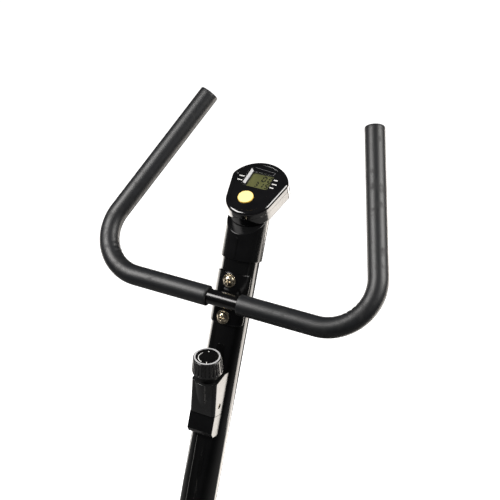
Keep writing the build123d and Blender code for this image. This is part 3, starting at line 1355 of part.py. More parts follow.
# Drive pulley on the crank axle: rim, thin web with lightening holes, and hub
with BuildPart() as drive_pulley:
    with BuildSketch(side_view(pulley_x)):
        with Locations((crank_y, CRANK_Z)):
            Circle(PULLEY_DIA / 2)
            Circle(AXLE_DIA / 2 + PRESS, mode=Mode.SUBTRACT)
    extrude(amount=PULLEY_WIDTH)
    for face_x in (pulley_x, pulley_x + PULLEY_WIDTH - 3):
        with BuildSketch(side_view(face_x)):
            with Locations((crank_y, CRANK_Z)):
                Circle(PULLEY_DIA / 2 - 8)
                Circle(26, mode=Mode.SUBTRACT)
        extrude(amount=3, mode=Mode.SUBTRACT)
    with BuildSketch(side_view(pulley_x)):
        with Locations((crank_y, CRANK_Z)):
            with PolarLocations((PULLEY_DIA / 2 - 8 + 26) / 2, 6):
                Circle(17)
    extrude(amount=PULLEY_WIDTH, mode=Mode.SUBTRACT)
drive_pulley.part.label = "drive_pulley"
export_step(drive_pulley.part, "parts/drive_pulley.step")

# Drive belt round both pulleys
belt_x = pulley_x + (PULLEY_WIDTH - BELT_WIDTH) / 2
with BuildPart() as drive_belt:
    for grow, mode in ((FIT + BELT_THICK, Mode.ADD), (FIT, Mode.SUBTRACT)):
        with BuildSketch(side_view(belt_x)):
            with Locations((crank_y, CRANK_Z)):
                Circle(PULLEY_DIA / 2 + grow)
            with Locations((flywheel_y, FLYWHEEL_Z)):
                Circle(SMALL_PULLEY_DIA / 2 + grow)
            make_hull()
        extrude(amount=BELT_WIDTH, mode=mode)
drive_belt.part.label = "drive_belt"
export_step(drive_belt.part, "parts/drive_belt.step")

# Flywheel: heavy rim, thin web, and a hub that carries the small pulley
hub_end = pulley_x + PULLEY_WIDTH
fly_bearing_dia = 28.0
fly_bearing_width = 8.0
with BuildPart() as flywheel:
    with BuildSketch(side_view(-FLYWHEEL_WIDTH / 2)):
        with Locations((flywheel_y, FLYWHEEL_Z)):
            Circle(FLYWHEEL_DIA / 2)
    extrude(amount=FLYWHEEL_WIDTH)
    for face_x in (-FLYWHEEL_WIDTH / 2, FLYWHEEL_WIDTH / 2 - 7):
        with BuildSketch(side_view(face_x)):
            with Locations((flywheel_y, FLYWHEEL_Z)):
                Circle(FLYWHEEL_DIA / 2 - FLYWHEEL_RIM)
                Circle(SMALL_PULLEY_DIA / 2 - 2, mode=Mode.SUBTRACT)
        extrude(amount=7, mode=Mode.SUBTRACT)
    with BuildSketch(side_view(0)):
        with Locations((flywheel_y, FLYWHEEL_Z)):
            Circle(SMALL_PULLEY_DIA / 2 - 2)
    extrude(amount=hub_end)
    with BuildSketch(side_view(pulley_x)):
        with Locations((flywheel_y, FLYWHEEL_Z)):
            Circle(SMALL_PULLEY_DIA / 2)
    extrude(amount=PULLEY_WIDTH)
    with BuildSketch(side_view(-FLYWHEEL_WIDTH)):
        with Locations((flywheel_y, FLYWHEEL_Z)):
            Circle(FLYWHEEL_AXLE_DIA / 2 + 3)
    extrude(amount=4 * FLYWHEEL_WIDTH, mode=Mode.SUBTRACT)
    for seat_x in (-FLYWHEEL_WIDTH / 2, hub_end - fly_bearing_width):
        with BuildSketch(side_view(seat_x)):
            with Locations((flywheel_y, FLYWHEEL_Z)):
                Circle(fly_bearing_dia / 2 + PRESS)
        extrude(amount=fly_bearing_width, mode=Mode.SUBTRACT)
flywheel.part.label = "flywheel"
export_step(flywheel.part, "parts/flywheel.step")

with BuildPart() as flywheel_bearings:
    for seat_x in (-FLYWHEEL_WIDTH / 2, hub_end - fly_bearing_width):
        with BuildSketch(side_view(seat_x)):
            with Locations((flywheel_y, FLYWHEEL_Z)):
                Circle(fly_bearing_dia / 2)
                Circle(FLYWHEEL_AXLE_DIA / 2 + RUNNING, mode=Mode.SUBTRACT)
        extrude(amount=fly_bearing_width)
flywheel_bearings.part.label = "flywheel_bearings"
export_step(flywheel_bearings.part, "parts/flywheel_bearings.step")

# Flywheel axle across the fork, with a nut at each end
axle_left = -fork_left - FORK_THICK - 8
axle_right = fork_right + FORK_THICK + 8
with BuildPart() as flywheel_axle:
    with BuildSketch(side_view(axle_left)):
        with Locations((flywheel_y, FLYWHEEL_Z)):
            Circle(FLYWHEEL_AXLE_DIA / 2)
    extrude(amount=axle_right - axle_left)
    for nut_x in (-fork_left - FORK_THICK - 6.5, fork_right + FORK_THICK):
        with BuildSketch(side_view(nut_x)):
            with Locations((flywheel_y, FLYWHEEL_Z)):
                RegularPolygon(11, 6)
                Circle(FLYWHEEL_AXLE_DIA / 2 + PRESS, mode=Mode.SUBTRACT)
        extrude(amount=6.5)
flywheel_axle.part.label = "flywheel_axle"
export_step(flywheel_axle.part, "parts/flywheel_axle.step")

# Idler under the lower run of the belt: the run's line, its outside and the wheel's centre
run_length = sqrt(DRIVE_CENTRES**2 + (FLYWHEEL_Z - CRANK_Z) ** 2)
run_tilt = (PULLEY_DIA - SMALL_PULLEY_DIA) / 2 / run_length
ahead = (DRIVE_CENTRES / run_length, (FLYWHEEL_Z - CRANK_Z) / run_length)
below = (ahead[1], -ahead[0])
run_out = (
    below[0] * sqrt(1 - run_tilt**2) + ahead[0] * run_tilt,
    below[1] * sqrt(1 - run_tilt**2) + ahead[1] * run_tilt,
)
idler_share = 0.55
idler_reach = (
    PULLEY_DIA / 2
    - (PULLEY_DIA - SMALL_PULLEY_DIA) / 2 * idler_share
    + FIT
    + BELT_THICK
    + FIT
    + IDLER_DIA / 2
)
idler_y = crank_y + ahead[0] * run_length * idler_share + run_out[0] * idler_reach
idler_z = CRANK_Z + ahead[1] * run_length * idler_share + run_out[1] * idler_reach
idler_pin_dia = 8.0
with BuildPart() as idler_wheel:
    with BuildSketch(side_view(pulley_x)):
        with Locations((idler_y, idler_z)):
            Circle(IDLER_DIA / 2)
            Circle(idler_pin_dia / 2 + RUNNING, mode=Mode.SUBTRACT)
    extrude(amount=PULLEY_WIDTH)
idler_wheel.part.label = "idler_wheel"
export_step(idler_wheel.part, "parts/idler_wheel.step")

# Idler arm: a flat arm on a spacer that is fixed to the side of the strut under the crank
arm_x = pulley_x - 5
arm_foot_z = spine_top + 45
with BuildPart() as idler_arm:
    with BuildSketch(side_view(arm_x)):
        with Locations((idler_y, idler_z), (crank_y, arm_foot_z)):
            Circle(9)
        make_hull()
    extrude(amount=4)
    with BuildSketch(side_view(arm_x)):
        with Locations((crank_y, arm_foot_z)):
            Circle(8)
    extrude(amount=15 + FIT / 3 - arm_x)
    with BuildSketch(side_view(arm_x)):
        with Locations((idler_y, idler_z)):
            Circle(idler_pin_dia / 2)
    extrude(amount=hub_end - arm_x)
idler_arm.part.label = "idler_arm"
export_step(idler_arm.part, "parts/idler_arm.step")

# Magnet arm: a curved carrier round the flywheel's rim, swung on a pivot in the fork
eye_radius = 7.0
with BuildPart() as magnet_arm:
    with BuildSketch(side_view(-arm_half)):
        with Locations((flywheel_y, FLYWHEEL_Z)):
            Circle(magnet_radius + MAGNET_ARM_THICK)
            Circle(magnet_radius, mode=Mode.SUBTRACT)
        with BuildLine():
            span = 2 * magnet_radius
            Polyline(
                (flywheel_y, FLYWHEEL_Z),
                (flywheel_y + span * cos(pivot_angle), FLYWHEEL_Z + span * sin(pivot_angle)),
                (flywheel_y + span, FLYWHEEL_Z + span),
                (flywheel_y, FLYWHEEL_Z + 2 * span),
                (flywheel_y + span * cos(arm_end_angle), FLYWHEEL_Z + span * sin(arm_end_angle)),
                close=True,
            )
        make_face(mode=Mode.INTERSECT)
    extrude(amount=2 * arm_half)
    with BuildSketch(side_view(-arm_half)):
        with Locations((pivot_y, pivot_z)):
            Circle(eye_radius)
    extrude(amount=2 * arm_half)
    with BuildSketch(side_view(-2 * arm_half)):
        with Locations((pivot_y, pivot_z)):
            Circle(PIVOT_DIA / 2 + RUNNING)
    extrude(amount=4 * arm_half, mode=Mode.SUBTRACT)
magnet_arm.part.label = "magnet_arm"
export_step(magnet_arm.part, "parts/magnet_arm.step")

# Magnets along the inside of the arm
with BuildPart() as magnets:
    for number in range(6):
        angle = 14 + 18 * number
        radial = Plane(
            (0, flywheel_y, FLYWHEEL_Z),
            x_dir=(1, 0, 0),
            z_dir=(0, cos(radians(angle)), sin(radians(angle))),
        )
        with BuildSketch(radial.offset(magnet_radius - FIT)):
            Rectangle(FLYWHEEL_WIDTH, 15)
        extrude(amount=-MAGNET_THICK + FIT)
magnets.part.label = "magnets"
export_step(magnets.part, "parts/magnets.step")

# Chain-case covers: two moulded halves that stand on the spine and meet in the middle
cover_foot = spine_top + FIT
cover_crank_radius = PULLEY_DIA / 2 + COVER_CRANK_SPACE
cover_flywheel_radius = FLYWHEEL_DIA / 2 + COVER_FLYWHEEL_SPACE
cover_screw_places = [
    ((crank_y + flywheel_y) / 2 - 4, CRANK_Z + cover_crank_radius + 2),
    (flywheel_y + cover_flywheel_radius - 32, cover_foot + 14),
    (crank_y - cover_crank_radius / 2, cover_foot + 14),
    (flywheel_y + cover_flywheel_radius - 9.5, FLYWHEEL_Z - 40),
]


def cover_outline(x, inset):
    """The side view of the covers, drawn in by an inset, at x."""
    foot_start = crank_y - cover_crank_radius * 0.6
    foot_end = flywheel_y + cover_flywheel_radius * 0.82
    with BuildSketch(side_view(x)) as outline:
        with Locations((crank_y, CRANK_Z)):
            Circle(cover_crank_radius - inset)
        with Locations((flywheel_y, FLYWHEEL_Z)):
            Circle(cover_flywheel_radius - inset)
        with Locations(((foot_start + foot_end) / 2, cover_foot + inset + 5)):
            Rectangle(foot_end - foot_start - 2 * inset, 10)
        make_hull()
    return outline.sketch


for name, side in (("left_cover", -1), ("right_cover", 1)):
    with BuildPart() as cover:
        extrude(cover_outline(side * FIT / 2, 0), amount=side * (cover_half - FIT / 2))
        outer_face = cover.faces().sort_by(Axis.X)[-1 if side > 0 else 0]
        fillet(outer_face.edges(), radius=COVER_EDGE)
        with BuildSketch(side_view(side * (cover_half - 1))):
            with Locations((crank_y, CRANK_Z)):
                Circle(62)
        extrude(amount=side * 2.2)
        extrude(
            cover_outline(0, COVER_WALL + 1), amount=side * (cover_half - COVER_EDGE / 3), mode=Mode.SUBTRACT
        )
        extrude(
            cover_outline(0, COVER_EDGE), amount=side * (cover_half - COVER_WALL), mode=Mode.SUBTRACT
        )
        with BuildSketch(side_view(side * FIT / 2)):
            with Locations(*cover_screw_places):
                Circle(5.5)
        extrude(amount=side * (cover_half - COVER_WALL))
        with BuildSketch(side_view(0)):
            with Locations((crank_y, CRANK_Z)):
                Circle(AXLE_DIA / 2 + 3)
            with Locations(*cover_screw_places):
                Circle(2 + (HOLE_CLEARANCE if side > 0 else PRESS))
        extrude(amount=side * COVER_WIDTH, mode=Mode.SUBTRACT)
        if side > 0:
            with BuildSketch(side_view(12)):
                with Locations(*cover_screw_places):
                    Circle(4.5)
            extrude(amount=COVER_WIDTH, mode=Mode.SUBTRACT)
        with BuildSketch(along_mast(head_foot)):
            Circle(MAST_DIA / 2 + 1)
        extrude(amount=MAST_BELOW + foot_z, mode=Mode.SUBTRACT)
        with BuildSketch(seat_square(0)):
            Circle(SEAT_TUBE_DIA / 2 + 1)
        extrude(amount=SEAT_TUBE_LENGTH, mode=Mode.SUBTRACT)
        with Locations((0, crank_y, cover_foot)):
            Box(32, 38, 12, mode=Mode.SUBTRACT)
        with Locations(((fork_right - fork_left) / 2, flywheel_y, cover_foot)):
            Box(fork_right + fork_left + 2 * FORK_THICK + 2, 100, 14, mode=Mode.SUBTRACT)
    cover.part.label = name
    export_step(cover.part, f"parts/{name}.step")

# Case screws: under the console, in both sides of the tension housing, and deep in the right cover
with BuildPart() as case_screws:
    for place in console_screw_places:
        seat = console_face.offset(-CONSOLE_THICK + 5)
        under = Plane(seat.from_local_coords(place), x_dir=seat.x_dir, z_dir=-seat.z_dir)
        pan_screw(under, 6, 2, 3, CONSOLE_THICK - 12)
        cross_recess(under, 6, 2)
    for side in (-1, 1):
        seat = mast_point(tension_screw_place[1], tension_screw_place[0], side * (HOUSING_WIDTH / 2 - 2.5))
        outward = Plane(seat, x_dir=(0, 1, 0), z_dir=(side, 0, 0))
        pan_screw(outward, 7.6, 2, 3, 7)
        cross_recess(outward, 7.6, 2)
    for place in cover_screw_places:
        seat = Plane((12, place[0], place[1]), x_dir=(0, 1, 0), z_dir=(1, 0, 0))
        pan_screw(seat, 8, 3, 4, 26)
        cross_recess(seat, 8, 3)
case_screws.part.label = "case_screws"
export_step(case_screws.part, "parts/case_screws.step")
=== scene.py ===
from math import atan2, cos, exp, hypot, pi, radians, sin

import bmesh
import bpy
from mathutils import Matrix, Vector


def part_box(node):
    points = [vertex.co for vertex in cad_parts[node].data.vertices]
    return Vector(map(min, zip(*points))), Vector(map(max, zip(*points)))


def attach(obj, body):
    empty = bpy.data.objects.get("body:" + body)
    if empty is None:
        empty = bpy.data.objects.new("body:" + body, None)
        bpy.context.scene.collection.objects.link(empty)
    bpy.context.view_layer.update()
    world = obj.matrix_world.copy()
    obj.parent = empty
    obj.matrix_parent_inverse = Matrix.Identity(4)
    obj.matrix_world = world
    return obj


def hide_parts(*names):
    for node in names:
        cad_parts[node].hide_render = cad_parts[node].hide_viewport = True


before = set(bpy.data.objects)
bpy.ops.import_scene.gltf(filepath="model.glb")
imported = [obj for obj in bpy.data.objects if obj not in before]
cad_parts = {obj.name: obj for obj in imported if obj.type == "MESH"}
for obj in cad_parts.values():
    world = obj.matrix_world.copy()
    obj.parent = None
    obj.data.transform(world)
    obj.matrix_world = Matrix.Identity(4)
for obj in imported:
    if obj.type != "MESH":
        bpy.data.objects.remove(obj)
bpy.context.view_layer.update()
scene = bpy.context.scene
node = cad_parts


# The studio: a pale seamless floor, two square soft lights over the rider's shoulders and four
# flat ones that lie on the floor and shine up, seen by a camera above the rider's right hand.
camera_place = (0.6677, -1.0870, 2.0521)
camera_turn = radians(25.6195)
camera_tilt = radians(56.9026)
camera_lens = 81.96
camera_sensor = 36.0

scene.view_settings.view_transform = "Standard"
camera = bpy.data.objects.new("studio_camera", bpy.data.cameras.new("studio_camera"))
camera.data.lens = camera_lens
camera.data.sensor_width = camera_sensor
camera_facing = Matrix.Rotation(camera_turn, 4, "Z") @ Matrix.Rotation(camera_tilt, 4, "X")
camera.matrix_world = Matrix.Translation(camera_place) @ camera_facing
scene.collection.objects.link(camera)
scene.camera = camera

bar_middle = (0.0, 0.2, 1.0)
shoulder_size = (1.1, 1.1)
floor_light_rise = 0.04
sheet_turn = radians(32.0)
warm_white = (1.0, 0.935, 0.86)
soft_white = (1.0, 0.955, 0.90)


def soft_light(name, place, aim, size, power, tint, turn=0.0):
    """A flat soft light at place that shines towards aim and isn't itself in the picture."""
    lamp = bpy.data.objects.new(name, bpy.data.lights.new(name, "AREA"))
    lamp.data.shape = "RECTANGLE"
    lamp.data.size, lamp.data.size_y = size
    lamp.data.energy = power
    lamp.data.color = tint
    facing = (Vector(place) - Vector(aim)).to_track_quat("Z", "Y").to_matrix().to_4x4()
    lamp.matrix_world = Matrix.Translation(place) @ Matrix.Rotation(turn, 4, "Z") @ facing
    lamp.visible_camera = False
    scene.collection.objects.link(lamp)


def floor_light(name, x, y, size, power, tint, turn=0.0):
    """A soft light that lies just over the floor and shines straight up."""
    soft_light(name, (x, y, floor_light_rise), (x, y, 1.0), size, power, tint, turn)


soft_light("left_softbox", (-1.10, -0.62, 2.44), bar_middle, shoulder_size, 56.0, (1.0, 0.98, 0.96))
soft_light("right_softbox", (1.50, 0.68, 2.24), bar_middle, shoulder_size, 46.0, (1.0, 0.98, 0.95))
floor_light("right_sheet", 1.261, 1.284, (1.1, 0.64), 13.3, warm_white, sheet_turn)
floor_light("near_sheet", 0.456, 0.874, (0.7, 0.48), 5.5, warm_white, sheet_turn)
floor_light("right_sweep", 0.95, 3.50, (1.3, 3.4), 108.0, warm_white)
floor_light("left_sweep", -2.10, 2.85, (2.4, 4.7), 110.0, soft_white)


def seen_or_felt(tree, seen, felt):
    """The seen shader for what is looked at directly, and the felt one for light that bounces."""
    mix = tree.nodes.new("ShaderNodeMixShader")
    ray = tree.nodes.new("ShaderNodeLightPath")
    tree.links.new(ray.outputs["Is Camera Ray"], mix.inputs["Fac"])
    tree.links.new(felt, mix.inputs[1])
    tree.links.new(seen, mix.inputs[2])
    return mix.outputs["Shader"]


scene.world = bpy.data.worlds.new("studio_air")
scene.world.use_nodes = True
air = scene.world.node_tree
air_felt = air.nodes["Background"]
air_felt.inputs["Color"].default_value = (0.05, 0.05, 0.053, 1.0)
air_seen = air.nodes.new("ShaderNodeBackground")
air_seen.inputs["Color"].default_value = (1.0, 1.0, 1.0, 1.0)
air_shader = seen_or_felt(air, air_seen.outputs["Background"], air_felt.outputs["Background"])
air.links.new(air_shader, air.nodes["World Output"].inputs["Surface"])

floor_paint = bpy.data.materials.new("studio_floor")
floor_paint.use_nodes = True
floor_tree = floor_paint.node_tree
floor_matte = floor_tree.nodes["Principled BSDF"]
floor_matte.inputs["Base Color"].default_value = (0.8, 0.8, 0.8, 1.0)
floor_matte.inputs["Roughness"].default_value = 0.9
floor_glow = floor_tree.nodes.new("ShaderNodeEmission")
floor_glow.inputs["Strength"].default_value = 0.94
floor_seen = floor_tree.nodes.new("ShaderNodeAddShader")
floor_tree.links.new(floor_matte.outputs["BSDF"], floor_seen.inputs[0])
floor_tree.links.new(floor_glow.outputs["Emission"], floor_seen.inputs[1])
floor_felt = floor_tree.nodes.new("ShaderNodeBsdfDiffuse")
floor_felt.inputs["Color"].default_value = (0.28, 0.28, 0.28, 1.0)
floor_shader = seen_or_felt(floor_tree, floor_seen.outputs["Shader"], floor_felt.outputs["BSDF"])
floor_tree.links.new(floor_shader, floor_tree.nodes["Material Output"].inputs["Surface"])

floor_half = 15.0
floor_shape = bmesh.new()
bmesh.ops.create_grid(floor_shape, x_segments=4, y_segments=4, size=floor_half)
floor_mesh = bpy.data.meshes.new("studio_floor")
floor_shape.to_mesh(floor_mesh)
floor_shape.free()
floor_mesh.materials.append(floor_paint)
floor = bpy.data.objects.new("studio_floor", floor_mesh)
scene.collection.objects.link(floor)


# The frame, both stabilizers and the handlebar: welded steel tube, blasted and powder coated
# in one gloss black, which dries with a faint orange peel and a slightly uneven shine.
peel_grain = 420.0
peel_deep = 0.00004
broad_patch = 35.0
shine_drift = 0.10


def new_finish(name, metal=0.0, specular=0.5, edge=0.0):
    """A finish with its shader, and where each point of the piece lies; edge eases sharp edges."""
    finish = bpy.data.materials.new(name)
    finish.use_nodes = True
    tree = finish.node_tree
    shader = tree.nodes["Principled BSDF"]
    shader.inputs["Metallic"].default_value = metal
    shader.inputs["Specular IOR Level"].default_value = specular
    if edge:
        eased = tree.nodes.new("ShaderNodeBevel")
        eased.samples = 6
        eased.inputs["Radius"].default_value = edge
        tree.links.new(eased.outputs["Normal"], shader.inputs["Normal"])
    place = tree.nodes.new("ShaderNodeTexCoord").outputs["Object"]
    return finish, tree, shader, place


def mottle(tree, place, scale, detail=3.0):
    """Cloudy unevenness with patches about 1 / scale metres across."""
    noise = tree.nodes.new("ShaderNodeTexNoise")
    noise.inputs["Scale"].default_value = scale
    noise.inputs["Detail"].default_value = detail
    tree.links.new(place, noise.inputs["Vector"])
    return noise.outputs["Fac"]


def ranged(tree, value, low, high, from_low=0.3, from_high=0.7):
    """A value taken from one range to another."""
    change = tree.nodes.new("ShaderNodeMapRange")
    change.inputs["From Min"].default_value = from_low
    change.inputs["From Max"].default_value = from_high
    change.inputs["To Min"].default_value = low
    change.inputs["To Max"].default_value = high
    tree.links.new(value, change.inputs["Value"])
    return change.outputs["Result"]


def tinted(tree, shader, value, dark, light, low=0.3, high=0.7):
    """Colours the shader from dark to light as the value rises."""
    ramp = tree.nodes.new("ShaderNodeValToRGB")
    ramp.color_ramp.elements[0].position = low
    ramp.color_ramp.elements[0].color = (*dark, 1.0)
    ramp.color_ramp.elements[1].position = high
    ramp.color_ramp.elements[1].color = (*light, 1.0)
    tree.links.new(value, ramp.inputs["Fac"])
    tree.links.new(ramp.outputs["Color"], shader.inputs["Base Color"])


def dulled(tree, shader, value, smooth, rough, low=0.3, high=0.7):
    """Takes the shader's roughness from smooth to rough as the value rises."""
    tree.links.new(ranged(tree, value, smooth, rough, low, high), shader.inputs["Roughness"])


def embossed(tree, shader, height, depth, strength=1.0):
    """Raises the surface by the height, up to this depth in metres."""
    bump = tree.nodes.new("ShaderNodeBump")
    bump.inputs["Strength"].default_value = strength
    bump.inputs["Distance"].default_value = depth
    tree.links.new(height, bump.inputs["Height"])
    earlier = shader.inputs["Normal"].links
    if earlier:
        tree.links.new(earlier[0].from_socket, bump.inputs["Normal"])
    tree.links.new(bump.outputs["Normal"], shader.inputs["Normal"])


def moulded(name, dark, light, rough, grain, depth, metal=0.0, patch=broad_patch, specular=0.5, edge=0.0):
    """A finish of two near shades with an uneven shine and a grain of this many pebbles per metre."""
    finish, tree, shader, place = new_finish(name, metal, specular, edge)
    clouds = mottle(tree, place, patch)
    tinted(tree, shader, clouds, dark, light)
    dulled(tree, shader, clouds, rough * (1.0 - shine_drift), rough * (1.0 + shine_drift))
    if depth:
        embossed(tree, shader, mottle(tree, place, grain, detail=2.0), depth)
    return finish


def dress(finish, *names):
    """Gives CAD pieces a finish."""
    for name in names:
        slots = node[name].data.materials
        slots.clear()
        slots.append(finish)


powder_coat = moulded(
    "powder_coat", dark=(0.0018, 0.0018, 0.0020), light=(0.0032, 0.0032, 0.0034), rough=0.155,
    grain=peel_grain, depth=peel_deep, edge=0.0022,
)
dress(powder_coat, "main_frame", "front_stabilizer", "rear_stabilizer", "handlebar")


# The mast: one round tube in the same coat, with a thin pale line painted down the lower part of its
# left side: a painted highlight, standing in for a reflected line of light on the gloss coat.
mast_lean = radians(23.8)
mast_front = (0.0, -cos(mast_lean), sin(mast_lean))
mast_axis_reach = 0.17296
highlight_line_across = 0.0098
highlight_line_half = 0.0005
highlight_line_top = 0.800
highlight_line_fade = 0.015
highlight_line_start = 0.001
highlight_line_soft = 0.4
cloud_share = 0.04
x_way = (1.0, 0.0, 0.0)
z_way = (0.0, 0.0, 1.0)


def sum_of(tree, kind, first, second):
    """Two values, or a value and a number, put together by a sum of this kind."""
    both = tree.nodes.new("ShaderNodeMath")
    both.operation = kind
    for socket, value in zip(both.inputs, (first, second)):
        if isinstance(value, float):
            socket.default_value = value
        else:
            tree.links.new(value, socket)
    return both.outputs["Value"]


def measured(tree, place, way):
    """How far each point lies along a direction."""
    dot = tree.nodes.new("ShaderNodeVectorMath")
    dot.operation = "DOT_PRODUCT"
    dot.inputs[1].default_value = way
    tree.links.new(place, dot.inputs[0])
    return dot.outputs["Value"]


mast_coat, mast_tree, mast_shader, mast_place = new_finish("mast_coat")
mast_clouds = mottle(mast_tree, mast_place, broad_patch)
mast_across = sum_of(mast_tree, "ADD", measured(mast_tree, mast_place, x_way), highlight_line_across)
off_highlight_line = sum_of(mast_tree, "ABSOLUTE", mast_across, 0.0)
highlight_line_inner = highlight_line_half * (1.0 - highlight_line_soft)
highlight_line_outer = highlight_line_half * (1.0 + highlight_line_soft)
near_highlight_line = ranged(mast_tree, off_highlight_line, 1.0, 0.0, highlight_line_inner, highlight_line_outer)
mast_reach = measured(mast_tree, mast_place, mast_front)
highlight_line_front = ranged(mast_tree, mast_reach, 0.0, 1.0, mast_axis_reach, mast_axis_reach + highlight_line_start)
mast_height = measured(mast_tree, mast_place, z_way)
highlight_line_low = ranged(mast_tree, mast_height, 1.0, 0.0, highlight_line_top - highlight_line_fade, highlight_line_top)
# The pale line is a painted highlight, kept to the side facing forward and to the low part of the mast.
painted_highlight_line = sum_of(mast_tree, "MULTIPLY", sum_of(mast_tree, "MULTIPLY", near_highlight_line, highlight_line_front), highlight_line_low)
tone_and_painted_highlight = sum_of(mast_tree, "ADD", sum_of(mast_tree, "MULTIPLY", mast_clouds, cloud_share), painted_highlight_line)
tinted(mast_tree, mast_shader, tone_and_painted_highlight, (0.0017, 0.0018, 0.0020), (0.085, 0.085, 0.083), low=0.0, high=1.0)
dulled(mast_tree, mast_shader, mast_clouds, 0.09, 0.13)
embossed(mast_tree, mast_shader, mottle(mast_tree, mast_place, peel_grain, detail=2.0), peel_deep)
dress(mast_coat, "mast")


# Plugs, end caps, seat bush, battery cover and chain case: black polypropylene mouldings with a
# fine spark-eroded grain, snapped or screwed on; the chain case and the bar's plugs are smoother.
grained_plastic = moulded(
    "grained_plastic", dark=(0.007, 0.007, 0.008), light=(0.011, 0.011, 0.012), rough=0.34,
    grain=1500.0, depth=0.00006, edge=0.0008,
)
dress(grained_plastic, "spine_plugs", "front_end_caps", "rear_end_caps", "seat_bush", "battery_cover")
case_plastic = moulded(
    "case_plastic", dark=(0.006, 0.006, 0.007), light=(0.010, 0.010, 0.011), rough=0.26,
    grain=900.0, depth=0.00005, edge=0.0010,
)
dress(case_plastic, "left_cover", "right_cover", "handlebar_end_caps")


# Transport wheels: hard grey-black nylon, moulded, worn dull round the tread, turning on zinc
# plated pins through the ears of the front caps; axles, spindles and arms have the same zinc.
wheel_nylon = moulded(
    "wheel_nylon", dark=(0.012, 0.012, 0.013), light=(0.022, 0.022, 0.023), rough=0.45,
    grain=700.0, depth=0.00012, patch=120.0,
)
dress(wheel_nylon, "left_transport_wheel", "right_transport_wheel")
zinc_plate = moulded(
    "zinc_plate", dark=(0.42, 0.42, 0.43), light=(0.55, 0.55, 0.56), rough=0.30,
    grain=900.0, depth=0.00003, metal=1.0, patch=160.0,
)
dress(zinc_plate, "wheel_pins", "pedal_spindles", "crank_axle", "flywheel_axle", "idler_arm", "magnet_arm")


# Bolts: cold headed steel with domed heads and cross recesses, bright nickel plated, with the
# uneven shine and the warm colour drift that plating leaves.
nickel, nickel_tree, nickel_shader, nickel_place = new_finish("nickel", metal=1.0, edge=0.0005)
nickel_drift = mottle(nickel_tree, nickel_place, 140.0)
tinted(nickel_tree, nickel_shader, nickel_drift, (0.50, 0.42, 0.29), (0.72, 0.64, 0.50))
dulled(nickel_tree, nickel_shader, nickel_drift, 0.20, 0.30)
embossed(nickel_tree, nickel_shader, mottle(nickel_tree, nickel_place, 1600.0), 0.00002)
dress(nickel, "stabilizer_bolts", "mast_bolts", "handlebar_bolts")
dress(nickel, "saddle_bolts", "crank_bolts", "case_screws")


# Grips: closed-cell foam sleeves, charcoal with a blue cast, blown and pushed on over the bar,
# cut square at both ends, with the skin gathered inside the bend.
bar_rise = radians(41.4)
bar_plane = Matrix.Translation((0.0, 0.206714, 1.010)) @ Matrix.Rotation(bar_rise, 4, "X")
grip_radius = 0.0165
grip_bore = 0.0126
grip_start = {1: 0.0285, -1: 0.0251}
grip_lip = 0.0016
lip_segments = 3
skin_from = (grip_radius + grip_bore) / 2
bend_at = 0.15786
bend_radius = 0.074
bend_turn = radians(109.0)
bend_centre = Vector((bend_at, bend_radius, 0.0))
arm_way = Vector((cos(bend_turn), sin(bend_turn), 0.0))
arm_run = 0.24825
ring_sides = 56
straight_steps = 26
bend_steps = 60
arm_steps = 40
crease_angle = radians(50.0)
crease_reach = 0.28
crease_waves = 42.0
crease_from = 0.25
crease_deep = 0.0007
merge_near = 0.00001
full_turn = 2 * pi
origin = (0.0, 0.0, 0.0)


def make_piece(name, shape, finish, body, crease=35.0):
    """Turns a shape into a piece that rides on a body and wears the given finish."""
    bmesh.ops.recalc_face_normals(shape, faces=shape.faces)
    mesh = bpy.data.meshes.new(name)
    shape.to_mesh(mesh)
    shape.free()
    mesh.materials.append(finish)
    mesh.polygons.foreach_set("use_smooth", [True] * len(mesh.polygons))
    mesh.set_sharp_from_angle(angle=radians(crease))
    piece = bpy.data.objects.new(name, mesh)
    scene.collection.objects.link(piece)
    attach(piece, body)
    return piece


def spun(profile, turn, steps):
    """A round shape from half its section, as radius and height, spun about an upright axis."""
    shape = bmesh.new()
    wall = [shape.verts.new((radius, 0.0, up)) for radius, up in profile]
    lines = [shape.edges.new(pair) for pair in zip(wall, wall[1:])]
    bmesh.ops.spin(
        shape, geom=wall + lines, cent=origin, axis=z_way, angle=turn, steps=steps,
        use_merge=turn == full_turn,
    )
    bmesh.ops.remove_doubles(shape, verts=shape.verts, dist=merge_near)
    return shape


def drawn_on(shape, section, step, count):
    """Draws a flat section on by the same step, this many times, and gives the last section."""
    for _ in range(count):
        pulled = bmesh.ops.extrude_face_region(shape, geom=section)["geom"]
        within = [face for face in section if any(len(edge.link_faces) > 2 for edge in face.edges)]
        bmesh.ops.delete(shape, geom=within, context="FACES")
        section = [part for part in pulled if isinstance(part, bmesh.types.BMFace)]
        corners = [part for part in pulled if isinstance(part, bmesh.types.BMVert)]
        bmesh.ops.transform(shape, matrix=step, verts=corners)
    return section


def rounded(shape, edges, radius, segments):
    """Rounds edges off by this much."""
    bmesh.ops.bevel(
        shape, geom=edges, offset=radius, offset_type="OFFSET", segments=segments, profile=0.5,
        affect="EDGES", material=-1,
    )


def outer_lip(shape, cut):
    """The outer edge of a sleeve's cut end."""
    middle = sum((face.calc_center_median() for face in cut), Vector()) / len(cut)
    rims = [edge for edge in shape.edges if sum(face in cut for face in edge.link_faces) == 1]
    return [edge for edge in rims if (edge.verts[0].co - middle).length > skin_from]


def gather_skin(shape):
    """Folds the skin into small creases on the inside of the bend."""
    for vert in shape.verts:
        out = vert.co.xy - bend_centre.xy
        angle = atan2(out.x, -out.y)
        inside = (bend_radius - out.length) / grip_radius
        on_skin = hypot(bend_radius - out.length, vert.co.z) > skin_from
        if on_skin and 0.0 < angle < bend_turn and inside > crease_from:
            near = exp(-((angle - crease_angle) / crease_reach) ** 2)
            wave = sin((angle - crease_angle) * crease_waves)
            vert.co.xy += out.normalized() * (crease_deep * near * (inside - crease_from) * wave)


